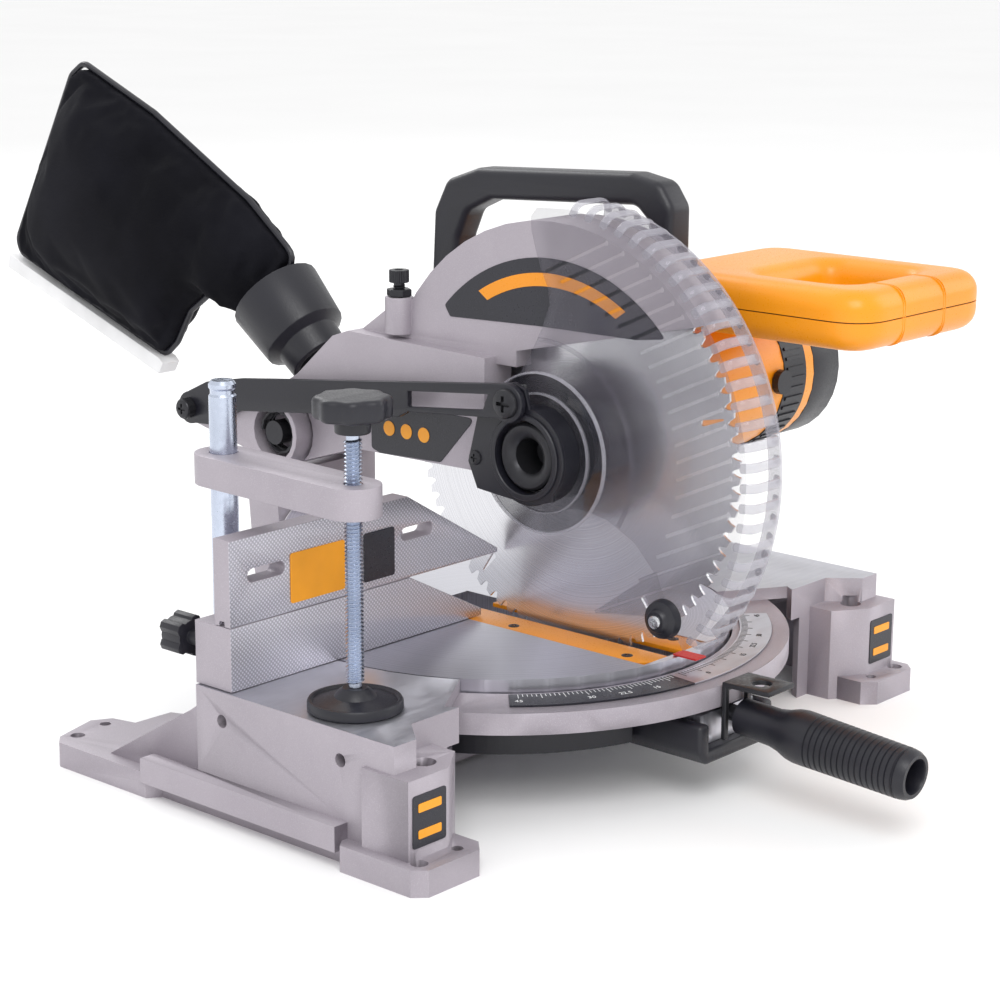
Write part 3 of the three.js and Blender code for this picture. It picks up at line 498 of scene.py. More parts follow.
# ---------- softened copies of the castings and mouldings ----------
SOFTENED = {
    "base_casting": 2.0, "head_casting": 2.2, "bevel_arm": 2.5, "clamp_arm": 3.0, "lock_housing": 2.5,
    "miter_latch": 0.8, "trigger": 2.0, "link_bar": 0.8, "motor_housing": 0.8,
    "motor_end_cap": 1.0, "bevel_lock_knob": 1.5, "fence_knob_left": 1.0, "fence_knob_right": 1.0,
    "bag_closure": 0.6, "dust_spout": 0.8, "lower_fence_left": 0.8, "lower_fence_right": 0.8,
    "upper_fence_left": 0.8, "upper_fence_right": 0.8, "kerf_plate_left": 0.4, "kerf_plate_right": 0.4,
}
SOFT = {}
for name, width in SOFTENED.items():
    SOFT[name] = softened(name, width)
    paint(SOFT[name], BY_SLOT[SLOT_OF[name]])


def second_finish(node, first, second, chosen):
    """Gives the chosen faces of a softened copy another material."""
    obj = paint(SOFT[node], first, second)
    for face in obj.data.polygons:
        face.material_index = int(chosen(face))


def faces_front(face):
    return face.normal.y < -0.9


def level_with_table(face):
    return face.normal.z > 0.97 and face.center.z > (TABLE_Z - 0.5) * MM


for side in ("left", "right"):
    for level in ("lower", "upper"):
        second_finish(f"{level}_fence_{side}", CAST, HATCHED, faces_front)
second_finish("base_casting", CAST, MACHINED, level_with_table)


# ---------- blade ----------
TEETH = 80
TOOTH_DEPTH = 6
BORE_R = 8.3
PLATE_HALF = 0.9
SLIT_IN, SLIT_OUT = 103, 118  # the expansion slits' ends, from the arbor


def about(points, y, z):
    return [(y + u, z + v) for u, v in points]


def turn_about(points, angle):
    c, s = cos(radians(angle)), sin(radians(angle))
    return [(u * c - v * s, u * s + v * c) for u, v in points]


def toothed(teeth, tip, root):
    """A saw blade's outline: a tip, its back, the gullet's round floor and the tooth's face."""
    points = []
    pitch = 2 * pi / teeth
    for i in range(teeth):
        for r, share in ((tip, 0.0), (tip - 1.3, 0.45), (root, 0.62), (root - 0.4, 0.72), (root, 0.82),
                         (root + 2, 0.93)):
            a = (i + share) * pitch
            points.append((r * cos(a), r * sin(a)))
    return points


def blade():
    outline = toothed(TEETH, BLADE_R - 0.3, BLADE_R - TOOTH_DEPTH)
    loops = [about(outline, BLADE.y, BLADE.z), arc(BORE_R, 0, 350, 35, BLADE.y, BLADE.z)]
    for a in range(20, 360, 72):
        slit = arc(1.8, 90, 270, 8, SLIT_IN, 0) + [(SLIT_OUT, -0.5), (SLIT_OUT, 0.5)]
        loops.append(about(turn_about(slit, a), BLADE.y, BLADE.z))
    disc = plate("blade_disc", loops, "x", -PLATE_HALF, PLATE_HALF, 0.1)
    fitted(disc, BRIGHT, "blade_spindle", "bright_steel", "blade")


blade()


# ---------- lower guard ----------
GUARD_WALL_R = GUARD_R - 6
GUARD_FROM, GUARD_TO = 83, -43  # degrees up from straight forward
GUARD_SWEEP = [GUARD_FROM + (GUARD_TO - GUARD_FROM) * i / 60 for i in range(61)]
SLOTS, SLOT_TOP, SLOT_PITCH = 22, 99.2, 9.5
SLOT_LEAN = radians(25)
SLOT_OUT_R, SLOT_IN_R = 139.0, 99.5
SLOT_HALF, SLOT_END_R = 1.1, 2.0
UPPER_SLOT, UPPER_SLOT_LENGTH = 60, 52  # above this offset a slot is at most this long
LOUVRES = 28
LOUVRE_LIFT = 6.6
RIM_RIGHT = 7.0  # the rim ends just past the blade


def polar(r, a):
    """A point round the arbor, its angle from straight forward, up."""
    return (BLADE.y - r * cos(radians(a)), BLADE.z + r * sin(radians(a)))


def guard_outline():
    """The left wall: its rim, its lower edge, the hub and the S of its rear edge."""
    rim = [polar(GUARD_WALL_R, a) for a in GUARD_SWEEP]
    lower = [polar(r, a) for r, a in ((128, -41), (104, -34), (84, -31), (60, -33), (42, -45))]
    hub = [polar(36, a) for a in range(-60, -216, -12)]
    rear = [polar(r, a) for r, a in ((37, 132), (46, 118), (60, 100), (76, 91), (91, 87.2), (100, 88.2),
                                     (110, 91), (120, 92.9), (134, 94.4), (142, 94.4), (147, 92.5))]
    return rim + lower + hub + rear


def slot_loops():
    """Slanted slots through the left wall, each with a round outer end."""
    along = Vector((cos(SLOT_LEAN), -sin(SLOT_LEAN)))
    normal = Vector((sin(SLOT_LEAN), cos(SLOT_LEAN)))
    turns = [radians(30 + 300 * i / 10) for i in range(11)]
    loops = []
    for k in range(SLOTS):
        offset = SLOT_TOP - SLOT_PITCH * k
        outer = -sqrt(SLOT_OUT_R ** 2 - offset ** 2)
        inner = -sqrt(max(0.0, SLOT_IN_R ** 2 - offset ** 2))
        if offset > UPPER_SLOT:
            inner = min(inner, outer + UPPER_SLOT_LENGTH)
        spot = normal * offset
        tip = [spot + along * (outer + SLOT_END_R * cos(t)) + normal * SLOT_END_R * sin(t) for t in turns]
        side = normal * SLOT_HALF
        end = [spot + along * inner - side, spot + along * inner + side]
        loops.append([(BLADE.y + p.x, BLADE.z + p.y) for p in tip + end])
    return loops


def guard_louvre(a):
    """One thick arched slat across the guard's rim."""
    bm = bmesh.new()
    low, high, steps, sides = 1.2 - GUARD_X, RIM_RIGHT - 1.5, 20, 10
    rings = []
    for i in range(steps + 1):
        t = -1 + 2 * i / steps
        lift = LOUVRE_LIFT * (1 - abs(t) ** 6)
        ring = []
        for k in range(sides):
            w = 2 * pi * k / sides
            r = GUARD_WALL_R - 2.4 + lift + 1.5 * sin(w)
            turn = a + degrees(2.9 * cos(w) / GUARD_WALL_R)
            y, z = polar(r, turn)
            ring.append(bm.verts.new(P((low + high) / 2 + (high - low) / 2 * t, y, z)))
        rings.append(ring)
    for p, q in zip(rings, rings[1:]):
        for k in range(sides):
            m = (k + 1) % sides
            bm.faces.new((p[k], p[m], q[m], q[k]))
    bm.faces.new(rings[0])
    bm.faces.new(list(reversed(rings[-1])))
    bmesh.ops.recalc_face_normals(bm, faces=bm.faces)
    return smooth(from_bmesh("louvre", bm))


def rim_bead(radius):
    section = [(radius - 0.8, 0), (radius - 0.5, -2.2), (radius + 0.5, -2.2), (radius + 0.8, 0)]
    return turned("bead", section, (-GUARD_X - 0.4, BLADE.y, BLADE.z), sides=72, ring=True)


def clipped(ridge):
    """Keeps the part of the outer ridge that lies on the guard's wall."""
    bm = bmesh.new()
    bm.from_mesh(ridge.data)
    for a, keep in ((93, 1), (-31, -1)):
        spot = P(0, *polar(69, a))
        tangent = Vector((0, *polar(1, a + 90))) - Vector((0, BLADE.y, BLADE.z))
        geom = bm.verts[:] + bm.edges[:] + bm.faces[:]
        bmesh.ops.bisect_plane(bm, geom=geom, plane_co=spot, plane_no=tangent * keep, clear_outer=True)
    bm.to_mesh(ridge.data)
    bm.free()
    return ridge


def lower_guard():
    hole = [polar(23, a) for a in range(0, 360, 10)]
    pieces = [plate("guard_left", [guard_outline(), hole, *slot_loops()], "x", -GUARD_X, 2.6 - GUARD_X, 0.3)]
    outer = [polar(GUARD_WALL_R + 1.5, a) for a in GUARD_SWEEP]
    inner = [polar(GUARD_WALL_R - 7, a) for a in reversed(GUARD_SWEEP)]
    raised = [(67.5, 0), (68, -1.4), (70, -1.4), (70.5, 0)]
    ridge = turned("ridge", raised, (-GUARD_X + 0.2, BLADE.y, BLADE.z), sides=72, ring=True)
    pieces.append(clipped(ridge))
    fitted(joined("guard_walls", pieces), CLEAR, "guard", "clear_plastic", "lower_guard")
    first, sweep = GUARD_FROM - 1, GUARD_TO - GUARD_FROM + 4
    louvres = [guard_louvre(first + sweep * i / (LOUVRES - 1)) for i in range(LOUVRES)]
    louvres.append(plate("guard_rim_edge", [outer + inner], "x", RIM_RIGHT - 2.4, RIM_RIGHT, 0.3))
    # The slats and the rim edge take the lighter clear copy: a painted highlight where their edges catch the
    # light.
    fitted(joined("guard_louvres", louvres), CLEAR_PAINTED_HIGHLIGHT, "guard", "clear_plastic")
    beads = [rim_bead(radius) for radius in (49, 36.5)]
    # The beads take the same lighter clear copy: a painted highlight along their edges.
    fitted(joined("guard_beads", beads), CLEAR_PAINTED_HIGHLIGHT, "guard", "clear_plastic")
    disc = [(26.8, 0), (48, 0), (48, -1.2), (26.8, -1.2)]
    smoky = turned("guard_hub_disc", disc, (-GUARD_X - 0.1, BLADE.y, BLADE.z), sides=72, ring=True)
    fitted(smoky, SMOKE, "guard", "clear_plastic")


lower_guard()


# ---------- screws and small turned pieces ----------
def stands_for(obj, mat, node):
    """A new piece that takes a CAD node's place and body."""
    return fitted(obj, mat, NODES[node]["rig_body"], SLOT_OF[node], node)


def pan_head(name, place, axis, radius, height, body, mat=DARK):
    """A pan-head screw with a cross recess, its head standing out along -x or +z."""
    direction = {"x": (-1, 0, 0), "z": (0, 0, 1)}[axis]
    dome = [(radius, 0), (radius, 0.35 * height), (0.93 * radius, 0.7 * height),
            (0.75 * radius, 0.92 * height), (0.45 * radius, height), (0, height)]
    head = turned(name, dome, place, direction, 32)
    x, y, z = place
    arm, half, deep = 0.55 * radius, 0.13 * radius, 0.65 * height
    cutters = []
    for u, v in ((arm, half), (half, arm)):
        if axis == "x":
            low, high = (x - height - 1, y - u, z - v), (x - height + deep, y + u, z + v)
        else:
            low, high = (x - u, y - v, z + height - deep), (x + u, y + v, z + height + 1)
        cutters.append(block("cutter", low, high, 0.05))
        cross = head.modifiers.new("cross", "BOOLEAN")
        cross.object = cutters[-1]
    applied(head)
    for cutter in cutters:
        bpy.data.objects.remove(cutter)
    smooth(head)
    return fitted(head, mat, body, "dark_steel")


HUB = (0, BLADE.y, BLADE.z)
LEFT = (-1, 0, 0)
UP = (0, 0, 1)


def hub_cover():
    cover = [(8.5, 1.6), (21, 1.6), (21, 16), (21, 40), (20.4, 42.4), (19, 43.6), (16, 43.6),
             (12.5, 42), (11, 40), (10.4, 26), (10, 15.3), (8.5, 15.3)]
    stands_for(turned("arbor_cover", cover, HUB, LEFT, 64, True), DARK, "outer_flange")
    collar = [(22.6, 44.5), (22.6, 46.0), (23.2, 46.6), (25.8, 46.6), (26.4, 46.0), (26.4, 44.5)]
    fitted(turned("bracket_collar", collar, HUB, LEFT, 64, True), BLACK, "guard", SLOT_OF["guard_bracket"])


def roller():
    _, y, z = centre("guard_roller")
    disc = [(0, 28.8), (11.6, 28.8), (12, 29.4), (12, 31), (11, 34.5), (7.5, 36.4), (6.4, 38.6),
            (5.8, 39), (0, 39)]
    stands_for(turned("roller_disc", disc, (0, y, z), LEFT, 48), BLACK, "guard_roller")
    pan_head("roller_screw", (-39, y, z), "x", 4.2, 1.6, "roller", STEEL)


def guard_bracket():
    """The plate that stands off the guard on a sleeve round the blade's cover, with the link's pin."""
    y, z = BLADE.y, BLADE.z
    outline = [(-34, 228), (-19, 212), (-11.5, 183), (-19, 167), (-35, 165.5), (-63, 163.5), (-79, 168)]
    outline += arc(30, 221, 97, 14, y, z) + [(-57, 233), (-48, 236.5), (-38, 234)]
    face = plate("face", [outline, arc(22.6, 0, 350, 35, y, z)], "x", -45, -42, 0.6)
    sleeve = turned("sleeve", [(22.6, 28.8), (29.8, 28.8), (29.8, 43), (22.6, 43)], HUB, LEFT, 64, True)
    pin = turned("pin", [(0, 42), (4, 42), (4, 46.6), (0, 46.6)], (0, LINK_FRONT.y, LINK_FRONT.z), LEFT, 24)
    stands_for(joined("guard_bracket_plate", [face, sleeve, pin]), BLACK, "guard_bracket")


hub_cover()
guard_bracket()
roller()
pan_head("link_screw_front", (-51.6, LINK_FRONT.y, LINK_FRONT.z), "x", 9.0, 3.4, "link")
pan_head("bracket_screw", (-45, -17.8, 186), "x", 4.6, 1.6, "guard")
pan_head("link_screw_rear", (-56.8, LINK_REAR.y, LINK_REAR.z), "x", 6.4, 1.8, NODES["link_screw"]["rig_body"])
for side, x in (("left", -22.5), ("right", 22.5)):
    for end, y in (("front", -120), ("rear", -30)):
        pan_head(f"kerf_screw_{side}_{end}", (x, y, TABLE_Z - 0.6), "z", 3.6, 0.9, "turntable")


# ---------- plain panels where the saw carries its plates ----------
def side_panel(name, outline, x, mat, body, thick=0.55):
    return fitted(plate(name, [outline], "x", x - thick, x - 0.05, 0.15), mat, body, "black_plastic")


def hood_panels():
    top = arc(117, 137, 43, 30, BLADE.y, BLADE.z)
    low = [(24, 265), (-46, 267.4), (-122, 268), (-141, 270.5)]
    side_panel("hood_panel", filleted(top + low, 2.0, 3), HOOD_X, LABEL, "head")
    stripe = arc(108, 122, 58, 24, BLADE.y, BLADE.z) + arc(100, 60, 120, 24, BLADE.y, BLADE.z)
    side_panel("hood_stripe", stripe, HOOD_X - 0.5, YELLOW, "head", 0.35)


def arm_panels():
    face = [(82, 206), (82, 175), (74.5, 172.7), (22, 174.7), (-6.7, 206.5)]
    side_panel("arm_panel", filleted(face, 3.0), ARM_X, LABEL, "head")
    for i, y in enumerate((66, 51, 36)):
        spot = [(0, 0.3), (4.6, 0.3), (4.8, 0.9), (0, 0.9)]
        disc = turned(f"arm_disc_{i}", spot, (ARM_X, y, 190), LEFT, 40)
        fitted(disc, ORANGE, "head", "yellow_plastic")


def fence_panels():
    cards = (("fence_panel_orange", -184, -140, ORANGE), ("fence_panel_black", -124, -98, LABEL))
    for name, x0, x1, mat in cards:
        card = plate(name, [filleted(rectangle(x0, x1, 120, 150), 2)], "y", -0.6, -0.05, 0.15)
        fitted(card, mat, "fence_left", "black_plastic")


def front_panels():
    for side, x0, x1 in (("left", -233, -207), ("right", 207, 233)):
        outline = filleted(rectangle(x0, x1, 22, 52), 2)
        card = plate(f"block_panel_{side}", [outline], "y", -143.7, -143.05, 0.15)
        fitted(card, LABEL, "base", "black_plastic")
        for i, z in enumerate((27, 42)):
            stripe = filleted(rectangle(x0 + 4, x1 - 4, z, z + 5), 1)
            bar = plate(f"block_bar_{side}_{i}", [stripe], "y", -144.0, -143.6, 0.1)
            fitted(bar, ORANGE, "base", "yellow_plastic")


hood_panels()
arm_panels()
fence_panels()
front_panels()


# ---------- miter scale ----------
SCALE_LO, SCALE_HI = extent("miter_scale")
SCALE_IN, SCALE_OUT = 151, 171
SCALE_SPLIT = -97


def boxes(name, spots):
    """Many thin boxes as one piece; each spot is eight corners, four below and then four above."""
    bm = bmesh.new()
    for corners in spots:
        v = [bm.verts.new(P(*c)) for c in corners]
        bm.faces.new((v[3], v[2], v[1], v[0]))
        bm.faces.new(v[4:8])
        for i in range(4):
            j = (i + 1) % 4
            bm.faces.new((v[i], v[j], v[4 + j], v[4 + i]))
    return from_bmesh(name, bm)


def spoke(a, r0, r1, half):
    """The four corners of a thin bar along a radius, its angle in radians."""
    along, across = Vector((cos(a), sin(a))), Vector((-sin(a), cos(a))) * half
    return [along * r0 - across, along * r1 - across, along * r1 + across, along * r0 + across]


def tick(angle, r0, r1, half, z0, z1):
    return [(p.x, p.y, z) for z in (z0, z1) for p in spoke(radians(angle), r0, r1, half)]


def numeral(text, angle, r, z, size=5.0):
    curve = bpy.data.curves.new("numeral", "FONT")
    curve.body = text
    curve.size = size * MM
    curve.align_x = "CENTER"
    curve.extrude = 0.1 * MM
    mesh = meshed("numeral", curve)
    a = radians(angle)
    spot = Matrix.Translation(P(r * cos(a), r * sin(a), z))
    mesh.transform(spot @ Matrix.Rotation(a + pi / 2, 4, "Z"))
    return new_object("numeral", mesh)


def miter_scale():
    top = SCALE_HI.z
    parts = (("scale_black", -137, SCALE_SPLIT, LABEL, WHITE),
             ("scale_metal", SCALE_SPLIT, -43, MACHINED, DARK))
    for name, a0, a1, mat, ink in parts:
        ring = arc(SCALE_OUT, a0, a1, 30) + arc(SCALE_IN, a1, a0, 30)
        band = plate(name, [ring], "z", SCALE_LO.z, top, 0.15)
        replaced = ["miter_scale"] if name == "scale_black" else []
        fitted(band, mat, "base", SLOT_OF["miter_scale"], *replaced)
        ticks = []
        for angle in range(a0 + 2, a1):
            end = SCALE_IN + (8 if (angle + 90) % 5 == 0 else 5)
            ticks.append(tick(angle, SCALE_IN + 1, end, 0.22, top - 0.05, top + 0.12))
        marks = [boxes("ticks", ticks)]
        for value in (0, 15, 22.5, 30, 45):
            for angle in {-90 - value, -90 + value}:
                if a0 < angle < a1 - 1:
                    marks.append(numeral(f"{value:g}", angle, SCALE_OUT - 5.5, top + 0.05))
        fitted(joined(name + "_marks", marks), ink, "base", "white_plastic")


miter_scale()


# ---------- clamp ----------
def helix_ridge(name, x, y, z0, z1, core, crest, pitch):
    """A screw thread's ridge about a vertical axis: a triangle carried round a helix."""
    bm = bmesh.new()
    section = ((core, 0), (crest, pitch / 2), (core, pitch * 0.98))
    spots = [bm.verts.new((r * MM, 0, t * MM)) for r, t in section]
    for a, b in zip(spots, spots[1:] + spots[:1]):
        bm.edges.new((a, b))
    obj = from_bmesh(name, bm)
    screw = obj.modifiers.new("helix", "SCREW")
    screw.angle = 2 * pi
    screw.screw_offset = pitch * MM
    screw.steps = 28
    screw.iterations = int((z1 - z0) / pitch) - 1
    applied(obj)
    obj.data.transform(Matrix.Translation(P(x, y, z0)))
    return smooth(merged(obj, 1e-6), 20)


def lobed(x, y, radius, depth, count, points=96):
    """A round outline with smooth lobes."""
    outline = []
    for i in range(points):
        a = 2 * pi * i / points
        r = radius + depth * cos(count * a)
        outline.append((x + r * cos(a), y + r * sin(a)))
    return outline


def clamp():
    under_screw = (SCREW.x, SCREW.y, 0)
    post = [(0, 12.3), (8, 12.3), (8, 239), (7.1, 240.2), (7.1, 242.6), (8, 243.8), (8, 246),
            (6.4, 248), (0, 248)]
    stands_for(turned("clamp_post_turned", post, (POST.x, POST.y, 0), UP, 48), ZINC, "clamp_post")
    core = turned("core", [(0, 90), (3.8, 90), (3.8, 234), (0, 234)], under_screw, UP, 32)
    ridge = helix_ridge("ridge", SCREW.x, SCREW.y, 91, 233.5, 3.7, 5.25, 2.2)
    stands_for(joined("clamp_screw_threaded", [core, ridge]), ZINC, "clamp_screw")
    rim = plate("rim", [lobed(SCREW.x, SCREW.y, 21, 1.0, 8)], "z", 242, 255, 3.0, 3)
    neck = [(0, 234.3), (9.5, 234.3), (10, 235), (10.4, 243.5), (0, 243.5)]
    hub = turned("hub", neck, under_screw, UP, 40)
    stands_for(joined("clamp_knob_lobed", [rim, hub]), BLACK, "clamp_knob")
    foot = [(0, 77.3), (26.4, 77.3), (27, 78), (27, 82), (26.2, 83.4), (24.8, 83.4), (23.6, 82), (12, 84.6),
            (9.5, 88), (7, 89.7), (0, 89.7)]
    stands_for(turned("clamp_foot_dished", foot, under_screw, UP, 64), BLACK, "clamp_foot")


clamp()


# ---------- handles ----------
HOLE = (80, 156, -198, -133)  # the D-handle's hole: x from and to, y from and to
SEAM_IN = 1.2  # how deep the seam lies


def split_at(obj, z, keep_above):
    bm = bmesh.new()
    bm.from_mesh(obj.data)
    geom = bm.verts[:] + bm.edges[:] + bm.faces[:]
    normal = (0, 0, -1) if keep_above else (0, 0, 1)
    found = bmesh.ops.bisect_plane(bm, geom=geom, plane_co=(0, 0, z * MM), plane_no=normal, clear_outer=True)
    rim = [e for e in found["geom_cut"] if isinstance(e, bmesh.types.BMEdge)]
    bmesh.ops.triangle_fill(bm, edges=rim, use_beauty=True)
    bmesh.ops.recalc_face_normals(bm, faces=bm.faces)
    bm.to_mesh(obj.data)
    bm.free()
    return smooth(obj)


def with_trigger_well(obj):
    """Cuts the well in the front bar that the trigger sinks into."""
    lo, hi = extent("trigger")
    travel, room = 6, 1
    low = (lo.x - room, lo.y - travel - 2 * room, lo.z - room)
    high = (hi.x + room, hi.y + travel, hi.z + room)
    well = block("well", low, high, 0.2)
    cut = obj.modifiers.new("well", "BOOLEAN")
    cut.object = well
    applied(obj)
    bpy.data.objects.remove(well)
    return smooth(obj)


def d_handle():
    """The D-handle: a round-barred loop in two halves with a seam between them."""
    lo, hi = HANDLE_LO, HANDLE_HI
    middle = (lo.z + hi.z) / 2
    outer = filleted(rectangle(lo.x, hi.x, lo.y, hi.y), 26, 10)
    hole = filleted(rectangle(*HOLE), 12, 8)
    for name, above in (("lower", False), ("upper", True)):
        ring = plate(f"handle_{name}_shell", [outer, hole], "z", lo.z, hi.z, 12.5, 8)
        seam = middle + (0.35 if above else -0.35)
        half = with_trigger_well(split_at(ring, seam, above))
        stands_for(half, YELLOW, f"handle_{name}")
    rim = rectangle(lo.x + SEAM_IN, hi.x - SEAM_IN, lo.y + SEAM_IN, hi.y - SEAM_IN)
    x0, x1, y0, y1 = HOLE
    inside = rectangle(x0 - SEAM_IN, x1 + SEAM_IN, y0 - SEAM_IN, y1 + SEAM_IN)
    loops = [filleted(rim, 25, 10), filleted(inside, 13, 8)]
    seam_fill = plate("handle_seam", loops, "z", middle - 0.6, middle + 0.6, 0.2)
    fitted(with_trigger_well(seam_fill), DARK, "head", "black_plastic")
    bar = filleted(rectangle(lo.y - 0.2, -197.8, lo.z - 0.2, hi.z + 0.2), 12.6, 8)
    core = filleted(rectangle(lo.y + 2, -200, lo.z + 2, hi.z - 2), 10, 8)
    for i, x in enumerate((90, 92, 134, 136)):
        ring = plate(f"handle_ring_{i}", [bar, core], "x", x - 0.3, x + 0.3, 0.1)
        fitted(with_trigger_well(ring), YELLOW, "head", "yellow_plastic")


def carry_handle():
    outer = [(92, 263), (89, 320), (78, 341), (52, 350), (-72, 356), (-94, 352), (-104, 338), (-104, 258),
             (-88, 258), (-88, 326), (-76, 337), (40, 331), (60, 322), (68, 304), (70, 272)]
    grip = plate("carry_grip", [filleted(outer, 11, 6)], "x", 31, 53, 5.0, 4)
    stands_for(grip, BLACK, "carry_handle")


def miter_grip():
    drop = radians(4)
    profile = [(0, 12), (11, 12), (11.3, 24), (11.5, 36), (13, 43), (15.2, 49), (16, 54), (16, 61)]
    for i in range(16):
        t = 62 + 3.9 * i
        r = 15.9 - 0.8 * i / 16
        profile += [(r, t), (r, t + 2.5), (r - 0.8, t + 3.0), (r - 0.8, t + 3.5)]
    profile += [(15, 125), (14.4, 128.5), (13, 131), (10.6, 131), (10, 129.5), (10, 118), (0, 118)]
    grip = turned("miter_grip_ribbed", profile, (0, -178, 50), (0, -cos(drop), -sin(drop)), 56)
    stands_for(grip, BLACK, "miter_handle")


d_handle()
carry_handle()
miter_grip()


# ---------- depth stop ----------
def depth_stop():
    x, y = STOP.x, STOP.y
    core = turned("core", [(0, 255), (3.4, 255), (3.4, 283), (0, 283)], (x, y, 0), UP, 24)
    ridge = helix_ridge("ridge", x, y, 256, 282, 3.3, 4.0, 1.25)
    hexagon = [(0, 273.3), (7.4, 273.3), (8, 273.9), (8, 277.4), (7.4, 278), (0, 278)]
    nut = turned("nut", hexagon, (x, y, 0), UP, 6)
    knurl = lobed(x, y, 6.1, 0.22, 26, 156)
    socket = arc(2.9, 0, 300, 5, x, y)
    head = plate("head", [knurl, socket], "z", 282, 290, 0.5)
    stands_for(joined("depth_stop_threaded", [core, ridge, nut, head]), DARK, "depth_stop_screw")


depth_stop()


# ---------- motor ----------
def around_motor(name, count, r0, r1, half, x0, x1):
    """A ring of thin bars that stand out round the motor."""
    spots = []
    for i in range(count):
        flat = spoke(2 * pi * i / count, r0, r1, half)
        spots.append([(x, MOTOR.y + p.x, MOTOR.z + p.y) for x in (x0, x1) for p in flat])
    return boxes(name, spots)


def motor_bands():
    axis = (0, MOTOR.y, MOTOR.z)
    band = [(MOTOR_R - 0.6, 166), (MOTOR_R + 0.5, 166.6), (MOTOR_R + 0.5, 190.4), (MOTOR_R - 0.6, 191)]
    fitted(turned("vent_band", band, axis, (1, 0, 0), 72, True), BLACK, "head", "black_plastic")
    bars = around_motor("vent_bars", 48, MOTOR_R + 0.2, MOTOR_R + 1.4, 1.1, 169, 188)
    fitted(bars, BLACK, "head", "black_plastic")


motor_bands()


# ---------- dust bag ----------
BAG_HEM = [(228, 236), (244, 248), (264, 254), (290, 236), (305, 212), (318, 201), (478, 258), (482, 268),
           (412, 392), (398, 401), (323, 370), (229, 318), (184, 283)]
BAG_CAP = 12  # the furthest that the cloth may move
HEM_WIDTH = 12  # the band along the outline that is held


def tube(name, points, radius, closed, x=0.0, sides=3):
    """A round tube along points in the plane of an x."""
    curve = bpy.data.curves.new(name, "CURVE")
    curve.dimensions = "3D"
    curve.bevel_depth = radius * MM
    curve.bevel_resolution = sides
    curve.use_fill_caps = True
    spline = curve.splines.new("POLY")
    spline.points.add(len(points) - 1)
    for point, (y, z) in zip(spline.points, points):
        point.co = (*P(x, y, z), 1)
    spline.use_cyclic_u = closed
    return smooth(merged(new_object(name, meshed(name, curve))))


def inflated(obj, held, pressure, shrink, frames=20):
    """Swells a closed cloth mesh; held says which points stay where they are."""
    start = [v.co.copy() for v in obj.data.vertices]
    group = obj.vertex_groups.new(name="held")
    group.add([v.index for v in obj.data.vertices if held(v.co)], 1.0, "REPLACE")
    cloth = obj.modifiers.new("cloth", "CLOTH")
    cloth.settings.quality = 6
    cloth.settings.mass = 0.2
    cloth.settings.bending_stiffness = 0.4
    cloth.settings.use_pressure = True
    cloth.settings.uniform_pressure_force = pressure
    cloth.settings.shrink_min = shrink
    cloth.settings.vertex_group_mass = "held"
    cloth.settings.effector_weights.gravity = 0
    cloth.point_cache.frame_start, cloth.point_cache.frame_end = 1, frames
    for frame_number in range(1, frames + 1):
        bpy.context.scene.frame_set(frame_number)
    applied(obj)
    bpy.context.scene.frame_set(1)
    for v, was in zip(obj.data.vertices, start):
        move = v.co - was
        if move.length > BAG_CAP * MM:
            v.co = was + move * (BAG_CAP * MM / move.length)


def near_hem(co):
    """True close to the bag's outline."""
    y, z = co.y / MM - FENCE_Y / MM, co.z / MM
    loop = BAG_HEM + BAG_HEM[:1]
    gaps = []
    for a, b in zip(loop, loop[1:]):
        a, b, p = Vector(a), Vector(b), Vector((y, z))
        t = max(0.0, min(1.0, (p - a).dot(b - a) / (b - a).length_squared))
        gaps.append((a + (b - a) * t - p).length)
    return min(gaps) < HEM_WIDTH


def dust_bag():
    bag = new_object("dust_bag_cloth", NODES["dust_bag"].data.copy())
    middle = sum((v.co for v in bag.data.vertices), Vector()) / len(bag.data.vertices)
    for v in bag.data.vertices:
        v.co = middle + (v.co - middle) * 0.975
        v.co.x *= 0.85
    voxels = bag.modifiers.new("voxels", "REMESH")
    voxels.mode = "VOXEL"
    voxels.voxel_size = 5.0 * MM
    applied(bag)
    inflated(bag, lambda co: abs(co.x) < 3.2 * MM and near_hem(co), 5.0, -0.06)
    fine = bag.modifiers.new("fine", "SUBSURF")
    fine.levels = 1
    applied(bag)
    stands_for(smooth(bag, 80), CLOTH, "dust_bag")
    hem = filleted(BAG_HEM, 10, 4)
    fitted(tube("bag_piping", hem, 2.2, True), BLACK, NODES["dust_bag"]["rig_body"], "black_plastic")


dust_bag()


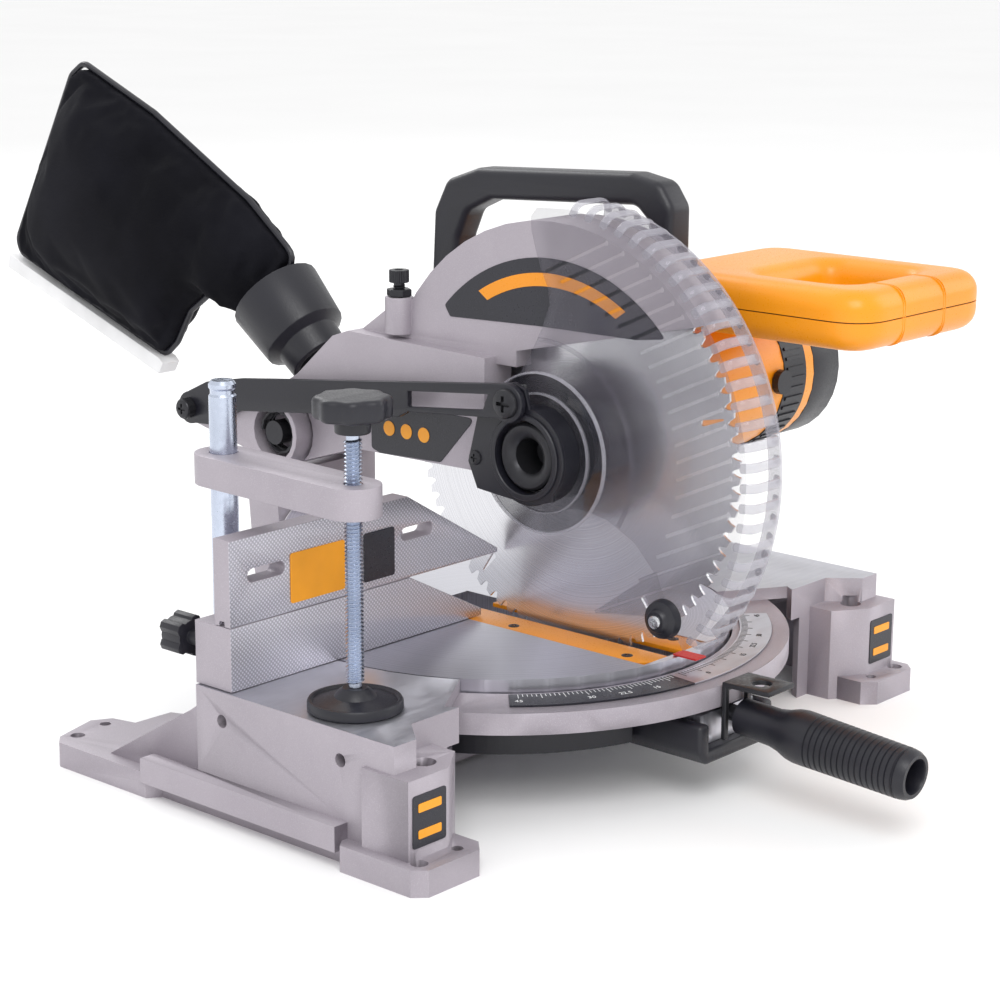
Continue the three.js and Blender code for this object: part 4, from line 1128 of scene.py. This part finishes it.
# ---------- stage and camera ----------
FLOOR_REACH = 12.0  # metres
LIGHTS = (  # name, place in metres, power in watts, size in metres
    ("key", (-1.4, -1.6, 2.2), 34, 1.6),
    ("fill", (2.0, -1.4, 1.2), 10, 1.6),
    ("rim", (0.6, 2.0, 2.0), 20, 1.4),
)
LIGHTS_AIM = Vector((0, 0, 0.18))
EYE = (-1110.7, -980.7, 514.9)
VIEW = (-48.5, 13.9, 0.3)  # the camera's azimuth, elevation and roll, in degrees
FOCAL_LENGTH = 87.36


def stage():
    mesh = bpy.data.meshes.new("floor")
    corners = [(u, v, 0) for u, v in rectangle(-FLOOR_REACH, FLOOR_REACH, -FLOOR_REACH, FLOOR_REACH)]
    mesh.from_pydata(corners, [], [(0, 1, 2, 3)])
    floor = new_object("floor", mesh)
    mat, tree, shader = material("pale_floor")
    tone = ramp(tree, grain(tree, 2.0), [(0.3, (0.93, 0.93, 0.93)), (0.7, (0.95, 0.95, 0.95))])
    tree.links.new(tone, shader.inputs["Base Color"])
    shader.inputs["Roughness"].default_value = 0.9
    paint(floor, mat)
    world = bpy.data.worlds.new("studio")
    world.use_nodes = True
    world.node_tree.nodes["Background"].inputs["Color"].default_value = (1, 1, 1, 1)
    world.node_tree.nodes["Background"].inputs["Strength"].default_value = 1.0
    bpy.context.scene.world = world
    for name, place, power, size in LIGHTS:
        light = bpy.data.lights.new(name, "AREA")
        light.energy = power
        light.size = size
        lamp = new_object(name, light)
        lamp.location = place
        aim = LIGHTS_AIM - Vector(place)
        lamp.rotation_euler = aim.to_track_quat("-Z", "Y").to_euler()


def camera():
    azimuth, elevation, roll = (radians(angle) for angle in VIEW)
    back = Vector((sin(azimuth) * cos(elevation), -cos(azimuth) * cos(elevation), sin(elevation)))
    right = Vector((0, 0, 1)).cross(back).normalized()
    up = back.cross(right)
    right, up = cos(roll) * right + sin(roll) * up, cos(roll) * up - sin(roll) * right
    data = bpy.data.cameras.new("camera")
    data.lens = FOCAL_LENGTH
    data.sensor_width = 36
    cam = new_object("camera", data)
    turn = Matrix((right, up, back)).transposed().to_4x4()
    cam.matrix_world = Matrix.Translation(P(*EYE)) @ turn
    bpy.context.scene.camera = cam
    bpy.context.scene.view_settings.view_transform = "Standard"


stage()
camera()
